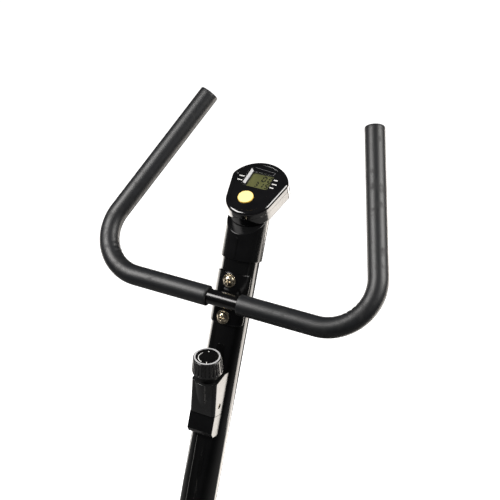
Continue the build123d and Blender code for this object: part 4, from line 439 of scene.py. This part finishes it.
def foam_sleeve(side):
    """A sleeve along the straight, the bend and the arm, in the plane of the bar."""
    shape = spun(((grip_bore, 0.0), (grip_radius, 0.0)), full_turn, ring_sides)
    start = Matrix.Translation((grip_start[side], 0.0, 0.0)) @ Matrix.Rotation(pi / 2, 4, "Y")
    bmesh.ops.transform(shape, matrix=start, verts=shape.verts)
    straight_step = Matrix.Translation(((bend_at - grip_start[side]) / straight_steps, 0.0, 0.0))
    turned = Matrix.Rotation(bend_turn / bend_steps, 4, "Z")
    bend_step = Matrix.Translation(bend_centre) @ turned @ Matrix.Translation(-bend_centre)
    arm_step = Matrix.Translation(arm_way * arm_run / arm_steps)
    first_cut = list(shape.faces)
    section = drawn_on(shape, first_cut, straight_step, straight_steps)
    section = drawn_on(shape, section, bend_step, bend_steps)
    last_cut = drawn_on(shape, section, arm_step, arm_steps)
    rounded(shape, outer_lip(shape, first_cut) + outer_lip(shape, last_cut), grip_lip, lip_segments)
    gather_skin(shape)
    if side < 0:
        bmesh.ops.scale(shape, vec=(-1.0, 1.0, 1.0), verts=shape.verts)
    bmesh.ops.transform(shape, matrix=bar_plane, verts=shape.verts)
    return shape


def cells(tree, place, scale):
    """Pebbles about 1 / scale metres across, as in foam or grained vinyl."""
    grain = tree.nodes.new("ShaderNodeTexVoronoi")
    grain.inputs["Scale"].default_value = scale
    tree.links.new(place, grain.inputs["Vector"])
    return grain.outputs["Distance"]


# The cut ends at the middle of the bar are duller than the skin, and painted darker there: painted shade, as
# the end faces lie in shadow.
cuts_middle = (grip_start[1] - grip_start[-1]) / 2
cuts_reach = (grip_start[1] + grip_start[-1]) / 2
cut_shade_full = 0.0002
cut_shade_gone = 0.0012
foam, foam_tree, foam_shader, foam_place = new_finish("grip_foam")
foam_across = sum_of(foam_tree, "SUBTRACT", measured(foam_tree, foam_place, x_way), cuts_middle)
foam_out = sum_of(foam_tree, "ABSOLUTE", foam_across, 0.0)
skin_clear_of_shade = ranged(foam_tree, foam_out, 0.0, 1.0, cuts_reach + cut_shade_full, cuts_reach + cut_shade_gone)
foam_tone_and_shade = sum_of(foam_tree, "MULTIPLY", mottle(foam_tree, foam_place, 60.0), skin_clear_of_shade)
# The near black at the cut ends is painted shade; the cloudy tone elsewhere is the foam's own.
tinted(foam_tree, foam_shader, foam_tone_and_shade, (0.0015, 0.0016, 0.0018), (0.0086, 0.0096, 0.0113), low=0.0)
dulled(foam_tree, foam_shader, foam_tone_and_shade, 0.90, 0.44, low=0.0, high=0.45)
embossed(foam_tree, foam_shader, cells(foam_tree, foam_place, 1500.0), 0.00004, strength=0.4)
embossed(foam_tree, foam_shader, mottle(foam_tree, foam_place, 220.0, detail=2.0), 0.00012, strength=0.5)
for side, side_name in ((1, "right"), (-1, "left")):
    grip = make_piece(f"{side_name}_foam_grip", foam_sleeve(side), foam, "frame")
    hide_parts(f"{side_name}_grip")


# Console: a pear-shaped case of gloss black plastic in two shells on a moulded bracket, with a
# sunk face, a clear window over the display and one press button; screwed from below.
gloss_case = moulded(
    "gloss_case", dark=(0.0022, 0.0022, 0.0026), light=(0.0040, 0.0040, 0.0044), rough=0.12,
    grain=300.0, depth=0.00003, specular=0.85, edge=0.0006,
)
dress(gloss_case, "console_front", "console_back")
collar_plastic = moulded(
    "collar_plastic", dark=(0.0034, 0.0035, 0.0038), light=(0.0054, 0.0055, 0.0058), rough=0.17,
    grain=600.0, depth=0.00004, specular=0.24, edge=0.0008,
)
dress(collar_plastic, "console_bracket")

clear, clear_tree, clear_shader, clear_place = new_finish("window_clear")
clear_shader.inputs["Alpha"].default_value = 0.05
clear_tone = mottle(clear_tree, clear_place, 90.0)
tinted(clear_tree, clear_shader, clear_tone, (0.10, 0.105, 0.10), (0.14, 0.145, 0.14))
dulled(clear_tree, clear_shader, clear_tone, 0.03, 0.06)
dress(clear, "console_window")

crystal, crystal_tree, crystal_shader, crystal_place = new_finish("display_crystal")
crystal_tone = mottle(crystal_tree, crystal_place, 55.0, detail=2.0)
tinted(crystal_tree, crystal_shader, crystal_tone, (0.074, 0.078, 0.021), (0.098, 0.101, 0.028))
dulled(crystal_tree, crystal_shader, crystal_tone, 0.28, 0.36)
crystal_lines = crystal_tree.nodes.new("ShaderNodeTexChecker")
crystal_lines.inputs["Scale"].default_value = 2600.0
crystal_tree.links.new(crystal_place, crystal_lines.inputs["Vector"])
embossed(crystal_tree, crystal_shader, crystal_lines.outputs["Fac"], 0.00001)
dress(crystal, "console_display")


def stretched(tree, place, stretch=(1.0, 1.0, 1.0), move=origin):
    """The same place, drawn out along the piece's own axes and moved."""
    mapping = tree.nodes.new("ShaderNodeMapping")
    mapping.inputs["Location"].default_value = move
    mapping.inputs["Scale"].default_value = stretch
    tree.links.new(place, mapping.inputs["Vector"])
    return mapping.outputs["Vector"]


# The button's top is painted paler than its deeper yellow rim: a painted highlight, where the dome catches
# the light.
button_middle = (-0.0053, 0.30042, 1.14646)
button_rim = 0.0127
button_top = 0.0113
yellow, yellow_tree, yellow_shader, yellow_place = new_finish("button_yellow")
yellow_far = yellow_tree.nodes.new("ShaderNodeVectorMath")
yellow_far.operation = "LENGTH"
yellow_off = stretched(yellow_tree, yellow_place, move=[-way for way in button_middle])
yellow_tree.links.new(yellow_off, yellow_far.inputs[0])
# Pale towards the middle of the button: painted highlight.
button_painted_highlight = ranged(yellow_tree, yellow_far.outputs["Value"], 0.0, 0.9, button_rim, button_top)
yellow_clouds = sum_of(yellow_tree, "MULTIPLY", mottle(yellow_tree, yellow_place, 300.0), 0.1)
button_highlight_and_tone = sum_of(yellow_tree, "ADD", button_painted_highlight, yellow_clouds)
tinted(yellow_tree, yellow_shader, button_highlight_and_tone, (0.74, 0.42, 0.018), (0.90, 0.76, 0.34), low=0.0, high=1.0)
dulled(yellow_tree, yellow_shader, button_highlight_and_tone, 0.34, 0.28, low=0.0, high=1.0)
embossed(yellow_tree, yellow_shader, mottle(yellow_tree, yellow_place, 1200.0, detail=2.0), 0.00004)
dress(yellow, "mode_button")


# Console insides: a green circuit board with paler traces under a solder mask, and two dry
# cells in plain dark sleeves, behind the cover; seen only when the case is open.
board, board_tree, board_shader, board_place = new_finish("circuit_board")
traces = board_tree.nodes.new("ShaderNodeTexBrick")
traces.inputs["Color1"].default_value = (0.010, 0.075, 0.028, 1.0)
traces.inputs["Color2"].default_value = (0.014, 0.095, 0.036, 1.0)
traces.inputs["Mortar"].default_value = (0.045, 0.150, 0.060, 1.0)
traces.inputs["Scale"].default_value = 160.0
board_tree.links.new(board_place, traces.inputs["Vector"])
board_tree.links.new(traces.outputs["Color"], board_shader.inputs["Base Color"])
dulled(board_tree, board_shader, traces.outputs["Fac"], 0.30, 0.42, low=0.0, high=1.0)
dress(board, "console_board")
cell_sleeve = moulded(
    "cell_sleeve", dark=(0.030, 0.032, 0.036), light=(0.050, 0.052, 0.058), rough=0.28,
    grain=500.0, depth=0.00003, patch=200.0,
)
dress(cell_sleeve, "batteries")


# Console prints: the display's dark digits inside a black mask, a silver strip beside the glass and rows of
# short white blocks, all screen printed or laid in; and a thin pale line on the window's top and right edges,
# a painted highlight.
face_tilt = radians(18.0)
face_plane = Matrix.Translation((0.0, 0.305178, 1.148002)) @ Matrix.Rotation(face_tilt, 4, "X")
print_thick = 0.00006
print_deep = 0.00070
print_grain = 900.0
digits_deep = 0.00378
digit_bars = {"0": "abcdef", "1": "bc", "3": "abcdg", "5": "acdfg"}
digit_slant = 0.12
digit_gap = 2.2
bar_short = 0.15


def lifted(shape, thick):
    """Gives flat outlines their thickness."""
    raised = bmesh.ops.extrude_face_region(shape, geom=list(shape.faces))["geom"]
    corners = [part for part in raised if isinstance(part, bmesh.types.BMVert)]
    bmesh.ops.translate(shape, vec=(0.0, 0.0, thick), verts=corners)


def outline(shape, points):
    """One flat outline from its corners."""
    shape.faces.new([shape.verts.new((x, y, 0.0)) for x, y in points])


def rectangle(left, right, low, high):
    """The corners of an upright rectangle, in order."""
    return (left, low), (right, low), (right, high), (left, high)


def digit_bar(shape, middle, across, up, length, thick, upright):
    """One bar of a digit, pointed at both ends."""
    half = length / 2 - thick * bar_short
    edge = thick / 2
    above = ((-half, 0.0), (-half + edge, edge), (half - edge, edge))
    ring = above + tuple((-along, -off) for along, off in above)
    points = [((-off, along) if upright else (along, off)) for along, off in ring]
    outline(shape, [
        (middle[0] + across + x + (up + y) * digit_slant, middle[1] + up + y) for x, y in points
    ])


def reading(shape, text, left, middle, width, height, thick):
    """A row of seven-bar digits from its left end, about the height of its middle."""
    places = {
        "a": (0.0, height / 2, False), "g": (0.0, 0.0, False), "d": (0.0, -height / 2, False),
        "b": (width / 2, height / 4, True), "c": (width / 2, -height / 4, True),
        "f": (-width / 2, height / 4, True), "e": (-width / 2, -height / 4, True),
    }
    for digit in text:
        for bar in digit_bars[digit]:
            across, up, upright = places[bar]
            length = height / 2 if upright else width
            digit_bar(shape, (left + width / 2, middle), across, up, length, thick, upright)
        left += width + thick * digit_gap


def on_face(name, shape, depth, thick, finish):
    """Lays flat outlines on the console's face, this far below it."""
    lifted(shape, thick)
    sunk_plane = face_plane @ Matrix.Translation((0.0, 0.0, -depth))
    bmesh.ops.transform(shape, matrix=sunk_plane, verts=shape.verts)
    make_piece(name, shape, finish, "frame")


digit_ink = moulded(
    "digit_ink", dark=(0.0010, 0.0014, 0.0006), light=(0.0022, 0.0026, 0.0014), rough=0.50,
    grain=print_grain, depth=0.0, patch=400.0, specular=0.05,
)
digits = bmesh.new()
reading(digits, "00", left=0.0034, middle=0.0415, width=0.0054, height=0.0104, thick=0.0023)
reading(digits, "315", left=-0.0040, middle=0.0282, width=0.0040, height=0.0094, thick=0.0021)
on_face("display_digits", digits, digits_deep, print_thick, digit_ink)

mask_deep = 0.00374
mask_outer = rectangle(-0.0273, 0.0247, 0.0164, 0.0526)
mask_hole = rectangle(-0.0168, 0.0222, 0.0192, 0.0498)
mask_ink = moulded(
    "mask_ink", dark=(0.004, 0.004, 0.0045), light=(0.007, 0.007, 0.0075), rough=0.35,
    grain=print_grain, depth=0.0, patch=200.0,
)
mask = bmesh.new()
for corner in range(4):
    onward = (corner + 1) % 4
    outline(mask, (mask_outer[corner], mask_outer[onward], mask_hole[onward], mask_hole[corner]))
bmesh.ops.remove_doubles(mask, verts=mask.verts, dist=merge_near)
on_face("display_mask", mask, mask_deep, print_thick, mask_ink)

strip_deep = 0.00108
strip_thick = 0.0006
strip_corners = ((-0.0220, 0.0566), (-0.0238, 0.0238), (-0.0186, 0.0222), (-0.0168, 0.0516))
silver_print = moulded(
    "silver_print", dark=(0.40, 0.40, 0.41), light=(0.50, 0.50, 0.505), rough=0.30,
    grain=1500.0, depth=0.00002, patch=300.0,
)
strip = bmesh.new()
outline(strip, strip_corners)
on_face("window_strip", strip, strip_deep, strip_thick, silver_print)

mark_rows = (
    (-0.0307, 0.0363, 5), (-0.0305, 0.0276, 5), (0.0263, 0.0421, 4), (0.0273, 0.0333, 5), (0.0259, 0.0253, 4),
)
mark_pitch = 0.0017
mark_wide = 0.0014
mark_half = 0.0011
mark_low_share = 0.8
mark_ink = moulded(
    "mark_ink", dark=(0.62, 0.62, 0.60), light=(0.74, 0.74, 0.72), rough=0.40,
    grain=print_grain, depth=0.0, patch=400.0,
)
marks = bmesh.new()
for x, y, blocks in mark_rows:
    for block in range(blocks):
        left = x + (block - blocks / 2) * mark_pitch
        half = mark_half * (mark_low_share if block % 2 else 1.0)
        outline(marks, rectangle(left, left + mark_wide, y - half, y + half))
on_face("face_marks", marks, print_deep, print_thick, mark_ink)

# A thin pale line along the window's top and right edges: a painted highlight, where the edge of the window's
# recess catches the light.
edge_highlight_half = 0.00024
edge_highlight_corners = [Vector(corner) for corner in ((-0.0165, 0.0592), (0.0194, 0.0566), (0.0181, 0.0510))]
edge_highlight_paint = moulded(
    "edge_highlight_paint", dark=(0.12, 0.12, 0.125), light=(0.18, 0.18, 0.185), rough=0.40,
    grain=print_grain, depth=0.0, patch=400.0,
)
edge_highlight_shape = bmesh.new()
for first, second in zip(edge_highlight_corners, edge_highlight_corners[1:]):
    way = second - first
    off = Vector((-way.y, way.x)).normalized() * edge_highlight_half
    outline(edge_highlight_shape, (first - off, second - off, second + off, first + off))
on_face("window_edge_highlight", edge_highlight_shape, print_deep, print_thick, edge_highlight_paint)


# Face trim: the moulded bead round the sunk face, where the console's rim rolls over, polished
# like the case.
sunk = 0.0007
sunk_slack = 0.00005
shell_merge = 0.00002
bead_radius = 0.00045
bead_step = 0.006
smooth_all = 180.0


def in_order(edges, vert):
    """The points of a closed line of edges, in order from a vertex on it."""
    left = set(edges)
    ring = []
    while True:
        ring.append(vert.co.copy())
        onward = next((edge for edge in vert.link_edges if edge in left), None)
        if onward is None:
            return ring
        left.discard(onward)
        vert = onward.other_vert(vert)


def paced(ring, step):
    """Points at near equal steps round a closed outline, with the way on at each."""
    closed = ring + ring[:1]
    lengths = [0.0]
    for first, second in zip(closed, closed[1:]):
        lengths.append(lengths[-1] + (second - first).length)
    count = round(lengths[-1] / step)
    at = 0
    for number in range(count):
        along = lengths[-1] * number / count
        while lengths[at + 1] < along:
            at += 1
        span = lengths[at + 1] - lengths[at] or 1.0
        way = closed[at + 1] - closed[at]
        yield closed[at] + way * ((along - lengths[at]) / span), way.normalized()


def settled(piece):
    """The piece's mesh with its modifiers worked in."""
    graph = bpy.context.evaluated_depsgraph_get()
    return bpy.data.meshes.new_from_object(piece.evaluated_get(graph))


def ringed(ring, step, radius):
    """A round bead that follows a closed outline."""
    line = bpy.data.curves.new("bead_line", "CURVE")
    line.dimensions = "3D"
    line.bevel_depth = radius
    line.bevel_resolution = 3
    spots = [point for point, way in paced(ring, step)]
    spline = line.splines.new("NURBS")
    spline.points.add(len(spots) - 1)
    for spot, point in zip(spline.points, spots):
        spot.co = (*point, 1.0)
    spline.use_cyclic_u = True
    spline.order_u = 3
    run = bpy.data.objects.new("bead_line", line)
    scene.collection.objects.link(run)
    shape = bmesh.new()
    shape.from_mesh(settled(run))
    bpy.data.objects.remove(run)
    return shape


front_shell = bmesh.new()
front_shell.from_mesh(node["console_front"].data)
bmesh.ops.remove_doubles(front_shell, verts=front_shell.verts, dist=shell_merge)
to_face = face_plane.inverted()
level = {vert for vert in front_shell.verts if abs((to_face @ vert.co).z + sunk) < sunk_slack}
level_faces = {face for face in front_shell.faces if all(vert in level for vert in face.verts)}
level_rim = [edge for edge in front_shell.edges if sum(face in level_faces for face in edge.link_faces) == 1]
top_vert = max((vert for edge in level_rim for vert in edge.verts), key=lambda vert: (vert.co.y, vert.co.x))
face_ring = in_order(level_rim, top_vert)
front_shell.free()
bead_shape = ringed(face_ring, bead_step, bead_radius)
make_piece("face_bead", bead_shape, gloss_case, "frame", smooth_all)


# Tension control: a satin housing screwed to the mast, and a fluted knob on a narrow neck painted near black
# as shade, with a black disc let into its top, printed with a silver ring, a widening arc and two ticks.
housing_plastic = moulded(
    "housing_plastic", dark=(0.0105, 0.0108, 0.0110), light=(0.0150, 0.0154, 0.0157), rough=0.18,
    grain=1300.0, depth=0.00003, specular=0.40, edge=0.0008,
)
dress(housing_plastic, "tension_housing")
cover_plastic = moulded(
    "cover_plastic", dark=(0.0030, 0.0031, 0.0033), light=(0.0046, 0.0048, 0.0050), rough=0.20,
    grain=1300.0, depth=0.00003, specular=0.40, edge=0.0008,
)
dress(cover_plastic, "tension_lower_cover")
dial_gloss = moulded(
    "dial_gloss", dark=(0.0026, 0.0027, 0.0028), light=(0.0040, 0.0041, 0.0043), rough=0.16,
    grain=700.0, depth=0.00002, specular=0.22,
)
dress(dial_gloss, "tension_dial")
cable_sheath = moulded(
    "cable_sheath", dark=(0.010, 0.010, 0.011), light=(0.016, 0.016, 0.017), rough=0.40,
    grain=2000.0, depth=0.00006, patch=150.0,
)
dress(cable_sheath, "tension_cable")

dial_middle = Vector((0.0, 0.15013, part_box("tension_dial")[1].z))
knob_foot = dial_middle - Vector((0.0, 0.0, 0.0334))
knob_crease = 30.0
flute_count = 26
flute_steps = 8
flute_deep = 0.0012
flute_sharp = 0.7
flute_low = 0.0098
flute_high = 0.0298
flute_slack = 0.0001
flute_from = 0.022
knob_wall = (
    (0.0, 0.0065), (0.0246, 0.0065), (0.0250, 0.0070), (0.0249, 0.0088), (0.02485, flute_low),
    (0.02385, 0.0200), (0.0229, flute_high), (0.0228, 0.0308), (0.0226, 0.0324), (0.0220, 0.0330),
    (0.0215, 0.0330), (0.0215, 0.0310), (0.0, 0.0310),
)
knob_plastic = moulded(
    "knob_plastic", dark=(0.011, 0.011, 0.0112), light=(0.016, 0.016, 0.0162), rough=0.24,
    grain=1300.0, depth=0.00004, specular=0.55, edge=0.0006,
)
knob_shape = spun(knob_wall, full_turn, flute_count * flute_steps)
for vert in knob_shape.verts:
    radius = hypot(vert.co.x, vert.co.y)
    if flute_low - flute_slack < vert.co.z < flute_high + flute_slack and radius > flute_from:
        scoop = max(0.0, cos(flute_count * atan2(vert.co.y, vert.co.x))) ** flute_sharp
        vert.co.xy *= 1.0 - flute_deep * scoop / radius
bmesh.ops.translate(knob_shape, vec=knob_foot, verts=knob_shape.verts)
knob_cap = make_piece("knob_cap", knob_shape, knob_plastic, "knob", knob_crease)
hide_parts("tension_knob")

neck_sides = 64
neck_wall = (
    (0.0, -0.0080), (0.0172, -0.0080), (0.0172, 0.0050), (0.0182, 0.0060), (0.0182, 0.0070), (0.0, 0.0070),
)
# The neck's near black is painted shade, for the shadow in the gap under the knob's skirt.
neck_painted_shade = moulded(
    "neck_painted_shade", dark=(0.0016, 0.0016, 0.0017), light=(0.0028, 0.0028, 0.0029), rough=0.55,
    grain=1300.0, depth=0.00004, specular=0.25,
)
neck_shape = spun(neck_wall, full_turn, neck_sides)
bmesh.ops.translate(neck_shape, vec=knob_foot, verts=neck_shape.verts)
make_piece("knob_neck", neck_shape, neck_painted_shade, "knob", knob_crease)


def on_dial(name, shape, thick, finish):
    """Lays a flat print on the dial."""
    lifted(shape, thick)
    bmesh.ops.translate(shape, vec=dial_middle, verts=shape.verts)
    make_piece(name, shape, finish, "knob")


ring_edges = ((0.0186, 0.0), (0.0211, 0.0))
ring_thick = 0.0004
ring_steps = 96
on_dial("dial_ring", spun(ring_edges, full_turn, ring_steps), ring_thick, silver_print)

arc_inner = 0.0112
arc_outer = 0.0120
arc_start = radians(152.0)
arc_turn = radians(110.0)
arc_drift = 0.0038
arc_widening = 0.0008
arc_steps = 40
arc = spun(((arc_inner, 0.0), (arc_outer, 0.0)), arc_turn, arc_steps)
for vert in arc.verts:
    along = atan2(vert.co.y, vert.co.x) / arc_turn
    radius = hypot(vert.co.x, vert.co.y)
    widening = arc_widening if radius > (arc_inner + arc_outer) / 2 else 0.0
    vert.co.xy *= 1.0 + (arc_drift + widening) * along / radius
bmesh.ops.rotate(arc, cent=origin, matrix=Matrix.Rotation(arc_start, 3, "Z"), verts=arc.verts)
on_dial("dial_arc", arc, print_thick, mark_ink)

zero_tick = ((0.0049, -0.0128), (0.0058, -0.0124), (0.0080, -0.0170), (0.0071, -0.0174))
diamond_tick = ((-0.0046, 0.0118), (-0.0032, 0.0104), (-0.0018, 0.0118), (-0.0032, 0.0132))
ticks = bmesh.new()
for tick in (zero_tick, diamond_tick):
    outline(ticks, tick)
on_dial("dial_ticks", ticks, print_thick, mark_ink)


# Seat: a chromed post with a pull pin, and a saddle of poured foam in black vinyl, stretched
# over a moulded shell; the cushion is the pad's own shape, shrunk a little and then puffed.
chrome, chrome_tree, chrome_shader, chrome_place = new_finish("chrome", metal=1.0)
chrome_haze = mottle(chrome_tree, stretched(chrome_tree, chrome_place, (1.0, 1.0, 0.2)), 180.0)
tinted(chrome_tree, chrome_shader, chrome_haze, (0.58, 0.59, 0.60), (0.68, 0.69, 0.70))
dulled(chrome_tree, chrome_shader, chrome_haze, 0.06, 0.12)
dress(chrome, "seat_post")
dress(grained_plastic, "saddle_shell", "seat_pin")

vinyl, vinyl_tree, vinyl_shader, vinyl_place = new_finish("saddle_vinyl", specular=0.45)
vinyl_clouds = mottle(vinyl_tree, vinyl_place, 40.0)
tinted(vinyl_tree, vinyl_shader, vinyl_clouds, (0.0085, 0.0085, 0.0090), (0.0140, 0.0140, 0.0145))
dulled(vinyl_tree, vinyl_shader, vinyl_clouds, 0.36, 0.48)
embossed(vinyl_tree, vinyl_shader, cells(vinyl_tree, vinyl_place, 620.0), 0.00035, strength=0.7)

pad_shrink = (0.965, 0.975, 0.95)
pad_voxel = 0.005
pad_held = 0.004
pad_pressure = 4.0
pad_frames = 20
swell_most = 0.004
pad_low, pad_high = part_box("saddle_pad")
pad_middle = (pad_low + pad_high) / 2
pad_middle.z = pad_low.z
pad_shape = bmesh.new()
pad_shape.from_mesh(node["saddle_pad"].data)
bmesh.ops.remove_doubles(pad_shape, verts=pad_shape.verts, dist=shell_merge)
bmesh.ops.translate(pad_shape, vec=-pad_middle, verts=pad_shape.verts)
bmesh.ops.scale(pad_shape, vec=pad_shrink, verts=pad_shape.verts)
bmesh.ops.translate(pad_shape, vec=pad_middle, verts=pad_shape.verts)
pad = make_piece("saddle_cushion", pad_shape, vinyl, "seat", smooth_all)
remesh = pad.modifiers.new("even", "REMESH")
remesh.mode = "VOXEL"
remesh.voxel_size = pad_voxel
pad.data = settled(pad)
pad.modifiers.clear()
resting = [vert.index for vert in pad.data.vertices if vert.co.z < pad_low.z + pad_held]
held = pad.vertex_groups.new(name="held")
held.add(resting, 1.0, "REPLACE")
before = [vert.co.copy() for vert in pad.data.vertices]
cloth = pad.modifiers.new("foam", "CLOTH")
cloth.settings.use_pressure = True
cloth.settings.uniform_pressure_force = pad_pressure
cloth.settings.effector_weights.gravity = 0.0
cloth.settings.vertex_group_mass = "held"
for step in range(1, pad_frames + 1):
    scene.frame_set(step)
pad.data = settled(pad)
pad.modifiers.clear()
scene.frame_set(1)
for vert, start in zip(pad.data.vertices, before):
    moved = vert.co - start
    if moved.length > swell_most:
        vert.co = start + moved * (swell_most / moved.length)
pad.data.materials.clear()
pad.data.materials.append(vinyl)
rounder = pad.modifiers.new("rounder", "SUBSURF")
rounder.levels = rounder.render_levels = 1
pad.data = settled(pad)
pad.modifiers.clear()
pad.data.polygons.foreach_set("use_smooth", [True] * len(pad.data.polygons))
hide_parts("saddle_pad")


# Saddle trim: a round vinyl welt sewn in where the top panel meets the side band, and the row
# of polyester stitches that holds it.
welt_radius = 0.0016
welt_step = 0.007
welt_share = 0.34
stitch_above = 0.0045
stitch_pitch = 0.0062
stitch_half = (0.0020, 0.0005, 0.0004)
stitch_round = 0.0002


def girdle(mesh, height):
    """The outline of a pad at this height, as points in order round it."""
    shape = bmesh.new()
    shape.from_mesh(mesh)
    whole = shape.verts[:] + shape.edges[:] + shape.faces[:]
    cut = bmesh.ops.bisect_plane(shape, geom=whole, plane_co=(0.0, 0.0, height), plane_no=z_way)
    edges = [part for part in cut["geom_cut"] if isinstance(part, bmesh.types.BMEdge)]
    ring = in_order(edges, edges[0].verts[0])
    shape.free()
    return ring


welt_height = pad_low.z + (pad_high.z - pad_low.z) * welt_share
welt_shape = ringed(girdle(pad.data, welt_height), welt_step, welt_radius)
make_piece("saddle_welt", welt_shape, vinyl, "seat", smooth_all)

thread = moulded(
    "stitch_thread", dark=(0.030, 0.030, 0.031), light=(0.055, 0.055, 0.056), rough=0.55,
    grain=4000.0, depth=0.00010, patch=900.0,
)
stitch = bmesh.new()
bmesh.ops.create_cube(stitch, size=2.0)
bmesh.ops.scale(stitch, vec=stitch_half, verts=stitch.verts)
rounded(stitch, stitch.edges[:], stitch_round, 1)
one_stitch = bpy.data.meshes.new("one_stitch")
stitch.to_mesh(one_stitch)
stitch.free()
stitches = bmesh.new()
for point, way in paced(girdle(pad.data, welt_height + stitch_above), stitch_pitch):
    made = len(stitches.verts)
    stitches.from_mesh(one_stitch)
    stitches.verts.ensure_lookup_table()
    turned = way.to_track_quat("X", "Z").to_matrix().to_4x4()
    bmesh.ops.transform(stitches, matrix=Matrix.Translation(point) @ turned, verts=stitches.verts[made:])
bpy.data.meshes.remove(one_stitch)
make_piece("saddle_stitches", stitches, thread, "seat")


# Drive: forged cranks in chrome, steel bearings and magnets, a nylon pulley and idler, a rubber
# belt and an iron flywheel, all but the cranks inside the chain case.
dress(chrome, "left_crank", "right_crank")
bearing_steel = moulded(
    "bearing_steel", dark=(0.46, 0.46, 0.47), light=(0.58, 0.58, 0.59), rough=0.20,
    grain=1500.0, depth=0.00002, metal=1.0, patch=220.0,
)
dress(bearing_steel, "crank_bearings", "flywheel_bearings", "magnets")
pulley_nylon = moulded(
    "pulley_nylon", dark=(0.020, 0.020, 0.021), light=(0.032, 0.032, 0.033), rough=0.36,
    grain=1100.0, depth=0.00006,
)
dress(pulley_nylon, "drive_pulley", "idler_wheel")
belt_rubber = moulded(
    "belt_rubber", dark=(0.010, 0.010, 0.010), light=(0.017, 0.017, 0.017), rough=0.55,
    grain=1600.0, depth=0.00015, patch=150.0,
)
dress(belt_rubber, "drive_belt")
iron, iron_tree, iron_shader, iron_place = new_finish("turned_iron", metal=1.0)
iron_tone = mottle(iron_tree, iron_place, 90.0)
tinted(iron_tree, iron_shader, iron_tone, (0.14, 0.14, 0.145), (0.22, 0.22, 0.225))
dulled(iron_tree, iron_shader, iron_tone, 0.32, 0.46)
embossed(iron_tree, iron_shader, mottle(iron_tree, iron_place, 700.0), 0.00010)
dress(iron, "flywheel")


# Pedals: moulded nylon bodies hung on the spindles, each with a soft rubber strap over the foot,
# bent down against the pedal's sides and punched with adjusting holes at both ends.
dress(grained_plastic, "left_pedal", "right_pedal")
strap_rubber = moulded(
    "strap_rubber", dark=(0.012, 0.012, 0.013), light=(0.019, 0.019, 0.020), rough=0.48,
    grain=1300.0, depth=0.00010,
)
pedal_top = 0.299
strap_half = 0.0491
strap_rise = 0.048
strap_thick = 0.0024
strap_wide = 0.028
strap_leg = 0.015
strap_round = 0.0006
arch_share = pi / 1.38
strap_columns = 72
strap_rows = 14
hole_first = 2
hole_cells = 2
hole_pitch = 5
hole_count = 4


def punched(cell):
    """Whether a cell of the flat strap lies in one of the adjusting holes."""
    middle = cell.calc_center_median()
    column = int((middle.x + 0.5) * strap_columns)
    from_end = min(column, strap_columns - 1 - column) - hole_first
    in_row = abs(middle.y) * strap_rows < hole_cells / 2
    return in_row and 0 <= from_end < hole_count * hole_pitch and from_end % hole_pitch < hole_cells


def toe_strap(middle):
    """A strap bent over the foot, from one side of the pedal to the other."""
    shape = bmesh.new()
    bmesh.ops.create_grid(shape, x_segments=strap_columns, y_segments=strap_rows, size=0.5)
    bmesh.ops.delete(shape, geom=[cell for cell in shape.faces if punched(cell)], context="FACES")
    across = strap_half + strap_thick / 2
    rise = strap_rise - strap_thick / 2
    arch = arch_share * hypot(across, strap_rise)
    total = arch + 2 * strap_leg
    for vert in shape.verts:
        along = (vert.co.x + 0.5) * total
        if along < strap_leg:
            x, z = -across, along - strap_leg
        elif along > total - strap_leg:
            x, z = across, total - strap_leg - along
        else:
            angle = pi * (along - strap_leg) / arch
            x, z = -across * cos(angle), rise * sin(angle)
        vert.co = Vector((x, vert.co.y * strap_wide, z)) + middle
    return shape


for side_name in ("left", "right"):
    strap_low, strap_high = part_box(f"{side_name}_pedal_strap")
    strap_middle = (strap_low + strap_high) / 2
    strap_middle.z = pedal_top
    strap = make_piece(
        f"{side_name}_toe_strap", toe_strap(strap_middle), strap_rubber, f"{side_name}_pedal",
    )
    thicken = strap.modifiers.new("thick", "SOLIDIFY")
    thicken.thickness = strap_thick
    thicken.offset = 0.0
    soften = strap.modifiers.new("soft", "BEVEL")
    soften.width = strap_round
    soften.segments = 2
    soften.limit_method = "ANGLE"
    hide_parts(f"{side_name}_pedal_strap")
